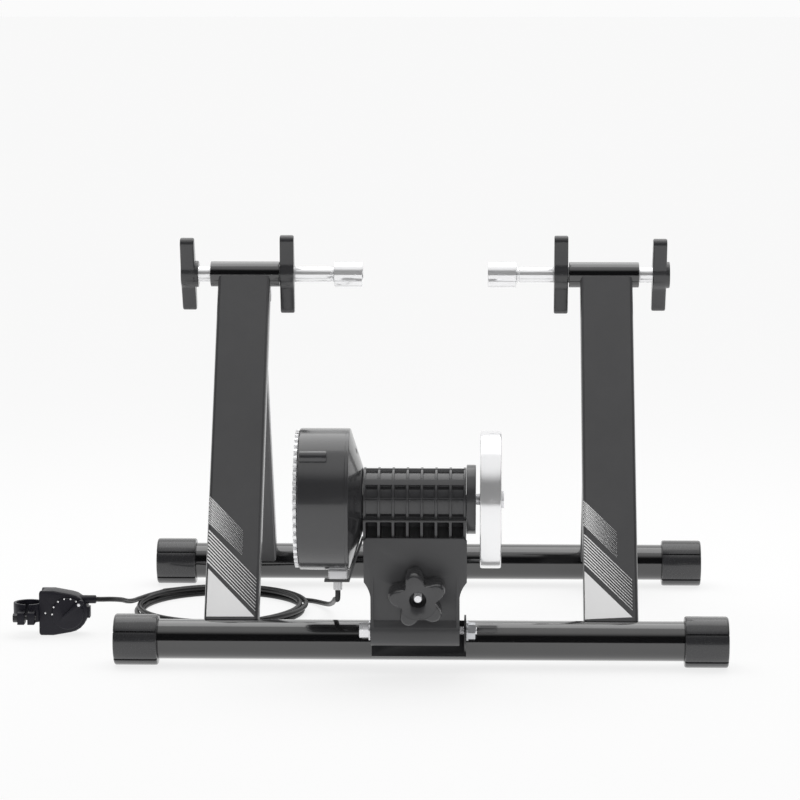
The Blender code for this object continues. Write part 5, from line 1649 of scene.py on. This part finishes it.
@dataclass
class Decals(Parts):
    """Generic printed stripes, dots and triangle on the rear uprights' near faces.

    Args:
        areas: the triangle, the stripes and the dots of the left and the right upright.
        middle: how far out the uprights' middles lie, and face how far in front their faces.
        lines: slanted lines in a print.
        line_share: the inked share at the left, and thin a line's width at the right.
        dot_rows, dot_columns: the dots' rows and columns.
        dot_radius: the largest dot's radius.
        dot_shares: a dot's size share at the left, and what it loses to the right.
        flat: half the width of an upright's flat, and slope how its edge falls away.
    """

    areas: tuple = (
        (Field(-0.0238, 0.0222, 0.0681, 0.0186, 0.0190, 0.0188),
         Field(-0.0250, 0.0230, 0.1098, 0.0741, 0.0590, 0.0228),
         Field(-0.0248, 0.0090, 0.1428, 0.1160, 0.1066, 0.0818)),
        (Field(-0.0250, 0.0200, 0.0672, 0.0177, 0.0203, 0.0201),
         Field(-0.0251, 0.0205, 0.1068, 0.0738, 0.0596, 0.0258),
         Field(-0.0250, 0.0068, 0.1400, 0.1155, 0.1070, 0.0810)),
    )
    middle: float = 0.1813
    face: float = 0.011
    lines: int = 10
    line_share: float = 0.52
    thin: float = 0.35
    dot_rows: int = 13
    dot_columns: int = 30
    dot_radius: float = 0.00078
    dot_shares: tuple = (0.95, 0.62)
    flat: float = 0.0230
    slope: float = 0.415

    def plane(self, side: int) -> Matrix:
        """The near face of one rear upright.

        Args:
            side: -1 or 1.

        Returns:
            The plane: u is +X from the upright's middle, v runs up it, w comes out.
        """
        bottom = Vector((0.0, REAR_Y, BAR_Z))
        up = (Vector((0.0, 0.0, AXLE_Z)) - bottom).normalized()
        out = Vector((0.0, -up.z, up.y))
        origin = bottom + out * self.face + Vector((side * self.middle, 0.0, 0.0)) + SHIFT
        return plane_of(Vector((1.0, 0.0, 0.0)), up, out, origin)

    def build(self) -> None:
        """Print both uprights."""
        for (side_name, side), (corner, stripes, dots) in zip(SIDES, self.areas):
            plane = self.plane(side)
            self.band(side_name, plane, corner, stripes)
            self.dots(side_name, plane, dots)

    def band(self, side_name: str, plane: Matrix, corner: Field, stripes: Field) -> None:
        """Print one upright's triangle and its slanted lines, which thin out to the right.

        Args:
            side_name: left or right.
            plane: the upright's near face.
            corner: the area of the triangle.
            stripes: the area of the lines.
        """
        form = Form()
        self.slab(form, plane, corner)
        half = (stripes.top - stripes.low) / self.lines * self.line_share / 2
        for index in range(self.lines):
            share = (index + 0.5) / self.lines
            left = stripes.top + share * (stripes.low - stripes.top)
            right = stripes.top_right + share * (stripes.low_right - stripes.top_right)
            ends = (left + half, left - half, right + half * self.thin, right - half * self.thin)
            self.slab(form, plane, Field(stripes.left, stripes.right, *ends))
        made = form.object("print_band_" + side_name)
        self.shop.finish(made, Body.REAR, "print_white", Slot.PAINT)

    def dots(self, side_name: str, plane: Matrix, area: Field) -> None:
        """Print one upright's field of dots, which shrink to the right.

        Args:
            side_name: left or right.
            plane: the upright's near face.
            area: the area of the dots.
        """
        places: list[tuple] = []
        shares: list[float] = []
        most, loss = self.dot_shares
        for row in range(self.dot_rows):
            for column in range(self.dot_columns):
                along = (column + 0.5 * (row % 2)) / self.dot_columns
                u = area.left + along * (area.right - area.left)
                top, low = area.heights(along)
                v = top + row / (self.dot_rows - 1) * (low - top)
                places.append((u, v, -self.drop(u)))
                shares.append(most - loss * along)
        mesh = bpy.data.meshes.new("dots_" + side_name)
        mesh.from_pydata(places, [], [])
        mesh.attributes.new("size", "FLOAT", "POINT").data.foreach_set("value", shares)
        ink = self.shop.finishes["print_white"]
        pattern = dot_pattern("print_dots_" + side_name)
        made = pattern.bake(self.shop, mesh, Radius=self.dot_radius, Finish=ink)
        made.data.transform(plane)
        self.shop.finish(made, Body.REAR, "print_white", Slot.PAINT)

    def drop(self, u: float) -> float:
        """How far the upright's rounded edge falls away at a distance from its middle."""
        return max(0.0, abs(u) - self.flat) * self.slope

    def slab(self, form: Form, plane: Matrix, area: Field) -> None:
        """Add a thin closed layer of ink over one area, bent over the rounded edge.

        Args:
            form: what it is added to.
            plane: the upright's near face.
            area: where the ink lies.
        """
        bends = {u for u in (-self.flat, self.flat) if area.left < u < area.right}
        rings = []
        for u in sorted({area.left, area.right} | bends):
            high, low = area.heights((u - area.left) / (area.right - area.left))
            over, under = INK - self.drop(u), -INK - self.drop(u)
            corners = ((high, over), (low, over), (low, under), (high, under))
            rings.append([plane @ Vector((u, v, w)) for v, w in corners])
        form.skin(rings)


# Control cable


@dataclass
class CableParts(Parts):
    """The control cable: lead from the brake, loose coil on the floor, lead to the remote.

    Args:
        adjuster: the adjuster's place (x, y).
        grip: the mean radius of its fluted grip, the flutes' depth, and the grip's height.
        flutes: how many flutes go round the grip.
        tip: the radius of the adjuster's tip.
        radius: the cable's radius, and sides its facets.
        spacing: how far apart the lead's stations lie.
        turns: the coil's loops, and steps their stations.
        centre: the coil's middle, and loop its outer radius.
        inward: how much narrower each further loop lies, and deeper how much longer than wide.
        layers: the height of the lower layer, and how far the loops climb above it.
        unit_lead, remote_lead: places that the leads run through.
        straight: how far a lead runs straight from the coil.
        outlet: where the cable enters the remote.
        bend: a range in Y along the lead; not used.
    """

    adjuster: tuple = (-0.0775, -0.245)
    grip: tuple = (0.0039, 0.0003, 0.008)
    flutes: int = 12
    tip: float = 0.0026
    radius: float = 0.0025
    sides: int = 18
    spacing: float = 0.004
    turns: float = 3.222
    steps: int = 72
    centre: tuple = (-0.2115, 0.0485)
    loop: float = 0.0895
    inward: float = 0.0062
    deeper: float = 0.009
    layers: tuple = (0.0026, 0.0058)
    unit_lead: tuple = (
        (-0.0781, -0.240, 0.0700), (-0.0811, -0.215, 0.0650), (-0.0832, -0.180, 0.0583),
        (-0.0860, -0.130, 0.0477), (-0.0889, -0.080, 0.0373), (-0.0922, -0.030, 0.0262),
        (-0.0956, 0.020, 0.0156), (-0.1020, 0.060, 0.0067), (-0.1190, 0.095, 0.0030),
    )
    remote_lead: tuple = (
        (-0.2790, 0.1140, 0.0085), (-0.2905, 0.0880, 0.0095), (-0.2970, 0.0550, 0.0125),
        (-0.3000, 0.0200, 0.0170), (-0.3020, -0.0150, 0.0235), (-0.3050, -0.0420, 0.0300),
        (-0.3130, -0.0600, 0.0340),
    )
    straight: float = 0.014
    outlet: tuple = (-0.3276, -0.065, 0.0348)
    bend: tuple = (-0.243, -0.130)

    def build(self) -> None:
        """Lay the cable and make its adjuster."""
        self.cable()
        self.barrel()

    def coil(self) -> list[Vector]:
        """Lay loops that spiral in on the floor, climb one layer, and spiral out again.

        Returns:
            Places along the loops.
        """
        count = round(self.turns * self.steps)
        low, climb = self.layers
        half = self.turns / 2
        route = []
        for step in range(count + 1):
            turn = self.turns * step / count
            radius = self.loop - self.inward * (half - abs(turn - half))
            share = min(1.0, max(0.0, (turn - half) / 0.5 + 0.5))
            angle = math.radians(45.0) + math.tau * turn
            route.append(Vector((
                self.centre[0] + radius * math.cos(angle),
                self.centre[1] + (radius + self.deeper) * math.sin(angle),
                low + climb * share * share * (3 - 2 * share),
            )))
        return route

    def smooth(self, points: list[Vector]) -> list[Vector]:
        """Draw a smooth curve through points, with straight ends.

        Args:
            points: the chosen places, whose first and last only set the ends' direction.

        Returns:
            Evenly spaced places on the curve.
        """
        dense = []
        for index in range(1, len(points) - 2):
            before, start, end, after = points[index - 1 : index + 3]
            for step in range(24):
                t = step / 24
                curve = (2 * before - 5 * start + 4 * end - after) * t**2
                curve += (3 * start - before - 3 * end + after) * t**3
                dense.append(0.5 * (2 * start + (end - before) * t + curve))
        dense.append(points[-2])
        total = path_length(dense)
        count = max(2, round(total / self.spacing))
        route = [dense[0]]
        walked = 0.0
        for start, end in zip(dense, dense[1:]):
            step = (end - start).length
            while len(route) < count and walked + step >= total * len(route) / count:
                share = (total * len(route) / count - walked) / step
                route.append(start + (end - start) * share)
            walked += step
        return [points[0], *route, dense[-1], points[-1]]

    def route(self) -> list[Vector]:
        """Lay the cable's whole centreline, from the brake to the remote.

        Returns:
            Places along the cable.
        """
        coil = self.coil()
        stub = 2 * self.radius
        reaches = (self.straight + stub, 2 * stub, stub)
        into = (coil[0] - coil[1]).normalized()
        away = (coil[-1] - coil[-2]).normalized()
        start = Vector((*self.adjuster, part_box("cable_adjuster")[0][2] - GAP))
        first = [start, start - Vector((0.0, 0.0, stub)), *map(Vector, self.unit_lead)]
        first += [coil[0] + into * reach for reach in reaches]
        end = Vector(self.outlet) + Vector((GAP, 0.0, 0.0))
        last = [coil[-1] + away * reach for reach in reaches[::-1]]
        last += [*map(Vector, self.remote_lead), end + Vector((stub, 0.0, 0.0)), end]
        return [place + SHIFT for place in [*self.smooth(first), *coil, *self.smooth(last)]]

    def tube(self, path: list[Vector]) -> Form:
        """Lay a round tube with closed ends round a path.

        Args:
            path: the centreline.

        Returns:
            The tube.
        """
        rings = []
        side = Vector((1.0, 0.0, 0.0))
        for index, place in enumerate(path):
            ahead = path[min(index + 1, len(path) - 1)] - path[max(index - 1, 0)]
            ahead.normalize()
            side = (side - ahead * side.dot(ahead)).normalized()
            up = ahead.cross(side)
            rings.append([
                place + (side * math.cos(angle) + up * math.sin(angle)) * self.radius
                for angle in around(self.sides)
            ])
        return Form().skin(rings)

    def cable(self) -> None:
        """Lay the cable, give it its finish, and hide the CAD leads that it stands for."""
        path = self.route()
        made = self.tube(path).object("control_cable")
        self.shop.surface(made, "cable_rubber", Slot.CABLE, 50.0)
        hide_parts("cable_unit_lead", "cable_coil", "cable_remote_lead")
        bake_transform(made)

    def barrel(self) -> None:
        """Make the cable's barrel adjuster with a fluted grip."""
        frame = along_z(*self.adjuster)
        low, high = (corner.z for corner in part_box("cable_adjuster"))
        mean, depth, height = self.grip
        outline = [
            polar(mean + depth * math.cos(self.flutes * angle), angle) for angle in around(96)
        ]
        made = Form().prism(outline, low, low + height, frame).object("fluted_adjuster")
        tip = Form().pin(frame, self.tip, low + height - 0.001, high, steps=40)
        self.shop.join(made, tip)
        self.shop.round_off(made, 0.0003)
        self.shop.finish(made, Body.UNIT, "grey_plastic", Slot.GREY, ("cable_adjuster",))


def path_length(path: list[Vector]) -> float:
    """How long a line through places is."""
    return sum((end - start).length for start, end in zip(path, path[1:]))


# Pieces whose CAD shape is right


@dataclass(frozen=True)
class Dress:
    """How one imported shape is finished.

    Args:
        node: the CAD node.
        finish: the material's name.
        bevel: width of the rounding on its sharp edges, or 0.
        angle: edges sharper than this stay sharp, in degrees.
    """

    node: str
    finish: str
    bevel: float = 0.0
    angle: float = 32.0


SIDE_DRESSES = (
    Dress("rear_upright_", "satin_black"),
    # The far front uprights take a lighter copy of the satin frame paint: painted light, not another
    # paint.
    Dress("front_upright_", "front_black", 0.0, 40.0),
    Dress("fold_bracket_", "bracket_black", 0.0004),
    Dress("fold_bolt_", "black_oxide", 0.0003),
    Dress("fold_nut_", "black_oxide", 0.0003),
    Dress("fold_bush_", "zinc_plate", 0.0003),
    Dress("bearing_", "bearing_steel", 0.0003),
)

DRESSES = (
    Dress("pivot_clevis", "clevis_black", 0.0004),
    Dress("unit_bracket", "bracket_black", 0.0004),
    Dress("tension_washer", "zinc_plate", 0.0002),
    Dress("magnet_carrier", "housing_plastic", 0.0003),
    Dress("magnet_ring", "magnet_plate", 0.0003),
    Dress("flywheel_nut", "zinc_plate", 0.0003),
    Dress("cable_stop_block", "grey_plastic", 0.0004),
    Dress("cable_stop_bracket", "bracket_black", 0.0002),
    Dress("remote_body", "remote_plastic", 0.0005, 36.0),
    Dress("remote_clamp", "remote_plastic", 0.0005, 36.0),
    Dress("remote_clamp_bolt", "black_oxide", 0.0003),
    Dress("remote_lever", "remote_plastic", 0.0004, 40.0),
)


@dataclass
class DressedParts(Parts):
    """Merged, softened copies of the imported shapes.

    Args:
        merge: how close corners are merged, and flat the angle in degrees under which faces are.
    """

    frame: dict
    merge: float = 2e-6
    flat: float = 0.4

    def build(self) -> None:
        """Finish every kept shape."""
        record = self.frame["record"]
        slots = {row["node"]: row["material_slot"] for row in record["subparts"]}
        rows = record["behaviour"]["bodies"].items()
        bodies = {node: body for body, nodes in rows for node in nodes}
        dresses = [replace(dress, node=dress.node + side_name)
                   for side_name, _ in SIDES for dress in SIDE_DRESSES]
        for dress in (*dresses, *DRESSES):
            made = self.copied(dress.node)
            if dress.bevel:
                self.shop.round_off(made, dress.bevel, segments=2, angle=38.0)
            self.shop.finish(made, bodies[dress.node], dress.finish, Slot(slots[dress.node]),
                             (dress.node,), angle=dress.angle)

    def copied(self, node: str) -> bpy.types.Object:
        """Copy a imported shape, with its loose triangles merged to faces.

        Args:
            node: the CAD node.

        Returns:
            The copy.
        """
        mesh = bmesh.new()
        mesh.from_mesh(self.frame["nodes"][node].data)
        bmesh.ops.remove_doubles(mesh, verts=mesh.verts, dist=self.merge)
        limit = math.radians(self.flat)
        bmesh.ops.dissolve_limit(mesh, angle_limit=limit, verts=mesh.verts, edges=mesh.edges)
        data = bpy.data.meshes.new("dressed_" + node)
        mesh.to_mesh(data)
        mesh.free()
        return linked(data.name, data)


@dataclass
class RemoteParts(Parts):
    """Printed dots on the remote's dial, and the pin at the end of its ridge.

    Args:
        dial: the dial's middle, and face how far its face stands out from there.
        ring: how far from the middle the dots lie.
        marks: the dots' places round the dial, in degrees.
        dot: a dot's radius.
        index: the place (u, v, w) of the still mark beside the dial.
        ridge: the pin's place round the dial in degrees, and its distance from the middle.
        pin: the pin's radius, ends, corner radius and facets.
    """

    dial: tuple = (-0.3548, -0.067, 0.0225)
    face: float = 0.0121
    ring: float = 0.0153
    marks: tuple = (182.0, 154.0, 127.0, 102.0, 78.0, 55.0)
    dot: float = 0.00085
    index: tuple = (-0.0225, 0.0, 0.009)
    ridge: tuple = (39.5, 0.0152)
    pin: tuple = (0.0016, 0.0152, 0.0158, 0.0003, 32)

    def build(self) -> None:
        """Make the marks and the pin."""
        places = [(*polar(self.ring, math.radians(mark)), self.face) for mark in self.marks]
        self.print_dots("dial_marks", places, Body.LEVER)
        self.print_dots("index_mark", [self.index], Body.REAR)
        degrees, reach = self.ridge
        spot = self.spot(*polar(reach, math.radians(degrees)), 0.0)
        made = Form().pin(spot, *self.pin).object("ridge_pin")
        self.shop.finish(made, Body.LEVER, "zinc_plate", Slot.ZINC)

    def spot(self, u: float, v: float, w: float) -> Matrix:
        """The dial's plane, moved within itself."""
        return facing(*self.dial) @ Matrix.Translation((u, v, w))

    def print_dots(self, name: str, places: list[tuple], body: Body) -> None:
        """Make one piece of low printed dots.

        Args:
            name: the piece's name.
            places: each dot's (u, v, w).
            body: the body it rides on.
        """
        form = Form()
        for place in places:
            form.pin(self.spot(*place), self.dot, -INK, INK, steps=20)
        self.shop.finish(form.object(name), body, "print_white", Slot.REMOTE)


# Finishes


FINISHES = (
    Finish("gloss_black", colour(0.007, 0.007, 0.0075), 0.12, 0.015, grain=240.0, depth=0.006,
           coat=1.0, dust=0.02, spec=0.8),
    Finish("satin_black", colour(0.040, 0.040, 0.042), 0.34, 0.04, grain=1400.0, depth=0.04,
           coat=0.3, dust=0.02),
    # Painted light: satin_black with only its base made brighter, for the far front uprights.
    Finish("front_black", colour(0.070, 0.070, 0.073), 0.34, 0.04, grain=1400.0, depth=0.04,
           coat=0.3, dust=0.02),
    Finish("bracket_black", colour(0.050, 0.050, 0.052), 0.42, grain=1200.0, depth=0.07,
           wear=0.10),
    Finish("clevis_black", colour(0.012, 0.012, 0.013), 0.36, grain=1200.0, depth=0.06,
           wear=0.10),
    Finish("black_oxide", colour(0.035, 0.035, 0.037), 0.38, metal=0.3, grain=1500.0,
           depth=0.08, wear=0.2),
    Finish("knob_plastic", colour(0.036, 0.036, 0.038), 0.26, 0.04, grain=1700.0, depth=0.05,
           wear=0.05, coat=0.35, dust=0.02),
    Finish("housing_plastic", colour(0.040, 0.040, 0.042), 0.30, 0.04, grain=1500.0,
           depth=0.05, coat=0.3, dust=0.02),
    Finish("drum_plastic", colour(0.036, 0.036, 0.038), 0.24, 0.03, grain=1300.0, depth=0.03,
           coat=0.6),
    Finish("foot_rubber", colour(0.030, 0.030, 0.032), 0.27, 0.02, grain=1100.0, depth=0.004,
           coat=0.5, dust=0.02),
    Finish("roller_rubber", colour(0.022), 0.62, 0.08, depth=0.25, dust=0.10),
    Finish("cable_rubber", colour(0.006, 0.006, 0.0065), 0.42, 0.04, grain=1200.0, depth=0.03),
    Finish("grey_plastic", colour(0.60, 0.60, 0.61), 0.36, grain=1500.0, depth=0.08,
           mottle=0.05),
    Finish("remote_plastic", colour(0.010, 0.0095, 0.0145), 0.40, grain=1700.0, spec=0.3),
    Finish("bright_plate", colour(0.93, 0.93, 0.94), 0.10, 0.015, metal=0.60, grain=500.0,
           depth=0.0, mottle=0.02),
    Finish("flywheel_steel", colour(0.92, 0.92, 0.93), 0.15, 0.02, metal=0.66, grain=700.0,
           depth=0.0, mottle=0.02, rings=(SHIFT.x, UNIT[0] + SHIFT.y, UNIT[1])),
    Finish("zinc_plate", colour(0.84, 0.84, 0.86), 0.26, metal=0.60, grain=1100.0, depth=0.05,
           mottle=0.05, wear=0.1),
    Finish("bearing_steel", colour(0.62, 0.62, 0.64), 0.22, 0.04, metal=1.0, depth=0.03,
           mottle=0.05),
    Finish("cast_aluminium", colour(0.88, 0.88, 0.89), 0.36, 0.06, metal=0.5, grain=1300.0,
           mottle=0.05),
    Finish("magnet_plate", colour(0.12, 0.12, 0.13), 0.45, 0.06, metal=0.6, grain=1300.0),
    Finish("print_white", colour(0.84), 0.50, 0.04, grain=1400.0, depth=0.03, mottle=0.02),
)


# Studio


@dataclass
class Studio:
    """Plain pale floor, soft light and the camera at the photograph's angle.

    Args:
        floor_half: half the floor's width.
        floor_tones: the paper's darkest and palest grey, and glow how much it shines itself.
        plain: the strength of the plain world that the camera and bright metal see.
        sun: the key light's strength, width, height and turn in degrees.
        soft_box: the soft box's size, strength and slant in degrees, and box_place its place.
        lens: the camera's focal length in millimetres, eye its place.
        yaw, pitch: where the camera looks, in degrees.
    """

    floor_half: float = 40.0
    floor_tones: tuple = (0.215, 0.22)
    glow: float = 0.80
    plain: float = 0.965
    sun: tuple = (1.25, 14.0, 85.0, 3.0)
    soft_box: tuple = (1.5, 1.1, 6.2, -22.0)
    box_place: tuple = (0.059, 0.34, 1.27)
    lens: float = 148.37
    eye: tuple = (0.12012, -3.26180, 0.66324)
    yaw: float = 1.502
    pitch: float = 7.509

    def floor(self) -> None:
        """Lay a wide floor that is nearly white by itself and still takes a shadow."""
        form = Form()
        corners = [Vector((x * self.floor_half, y * self.floor_half, 0.0))
                   for x, y in ((-1, -1), (1, -1), (1, 1), (-1, 1))]
        form.mesh.faces.new([form.mesh.verts.new(corner) for corner in corners])
        made = form.object("studio_floor")
        if made.data.polygons[0].normal.z < 0:
            made.data.flip_normals()
        paper = bpy.data.materials.new("studio_paper")
        paper.use_nodes = True
        graph = Graph(paper.node_tree)
        tones = (colour(tone) for tone in self.floor_tones)
        tone = graph.mix(graph.noise(3.0, detail=2.0), *tones)
        matt = graph.add("ShaderNodeBsdfDiffuse", {"Color": tone}).outputs[0]
        glow = {"Color": colour(1.0), "Strength": self.glow}
        glow = graph.add("ShaderNodeEmission", glow).outputs[0]
        both = graph.add("ShaderNodeAddShader", {0: matt, 1: glow}).outputs[0]
        graph.add("ShaderNodeOutputMaterial", {"Surface": both})
        made.data.materials.append(paper)

    def world(self) -> None:
        """Pale beyond the object and dark behind the camera, as in a studio with one lit wall."""
        world = bpy.data.worlds.new("studio_world")
        bpy.context.scene.world = world
        world.use_nodes = True
        graph = Graph(world.node_tree)
        way = graph.add("ShaderNodeTexCoord").outputs["Generated"]
        parts = graph.add("ShaderNodeSeparateXYZ", {0: way}).outputs
        beyond = graph.ramp(parts["Y"], low=0.05, high=0.40)
        under = graph.ramp(parts["Z"], low=-0.01, high=-0.08)
        over = graph.ramp(parts["Z"], low=0.58, high=1.0)
        share = graph.math("MAXIMUM", graph.math("MAXIMUM", beyond, under), over)
        seen = graph.mix(share, colour(0.0), colour(1.0))
        light = graph.add("ShaderNodeBackground", {"Color": seen, "Strength": 1.0}).outputs[0]
        plain = {"Color": colour(1.0), "Strength": self.plain}
        plain = graph.add("ShaderNodeBackground", plain).outputs[0]
        path = graph.add("ShaderNodeLightPath").outputs
        mirrored_share = graph.math("MULTIPLY", path["Is Glossy Ray"], share)
        straight = (path["Is Camera Ray"], path["Is Transmission Ray"])
        shown = graph.math("ADD", *straight, clamp=True)
        shown = graph.math("ADD", shown, mirrored_share, clamp=True)
        both = graph.add("ShaderNodeMixShader", {0: shown, 1: light, 2: plain}).outputs[0]
        graph.add("ShaderNodeOutputWorld", {"Surface": both})

    def lamps(self) -> None:
        """A low, wide key from behind the camera, and a soft box beyond the trainer."""
        data = bpy.data.lights.new("key", "SUN")
        data.energy, width, height, turn = self.sun
        data.angle = math.radians(width)
        key = linked("key", data)
        key.rotation_euler = (math.radians(height), 0.0, math.radians(turn))
        key.visible_glossy = False
        data = bpy.data.lights.new("soft_box", "AREA")
        data.shape = "RECTANGLE"
        data.size, data.size_y, data.energy, slant = self.soft_box
        box = linked("soft_box", data)
        box.location = self.box_place
        box.rotation_euler = (math.radians(slant), 0.0, 0.0)

    def camera(self) -> None:
        """Set the camera of the photograph: behind the trainer, a little above it."""
        yaw, pitch = math.radians(self.yaw), math.radians(self.pitch)
        level = math.cos(pitch)
        ahead = Vector((-math.sin(yaw) * level, math.cos(yaw) * level, -math.sin(pitch)))
        right = Vector((math.cos(yaw), math.sin(yaw), 0.0))
        data = bpy.data.cameras.new("camera")
        data.lens = self.lens
        data.sensor_width = 36.0
        data.clip_end = 100.0
        made = linked("camera", data)
        made.matrix_world = plane_of(right, right.cross(ahead), -ahead, Vector(self.eye))
        bpy.context.scene.camera = made


def main() -> None:
    """Load the frame, set the camera, build every piece, and make the floor, world and lamps."""
    logging.basicConfig(level=logging.INFO, format="%(name)s: %(message)s")
    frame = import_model()
    bpy.context.scene.view_settings.view_transform = "Standard"
    studio = Studio()
    studio.camera()
    finishes = Finishes()
    for finish in FINISHES:
        finishes.make(finish)
    shop = Workshop(finishes)
    for parts in (
        CableParts(shop), FrameParts(shop), ClampParts(shop), HousingParts(shop),
        DrumParts(shop), RotorParts(shop), TensionParts(shop), DressedParts(shop, frame),
        Decals(shop), RemoteParts(shop),
    ):
        log.info("building %s", type(parts).__name__)
        parts.build()
    studio.floor()
    studio.world()
    studio.lamps()


if __name__ == "__main__":
    main()
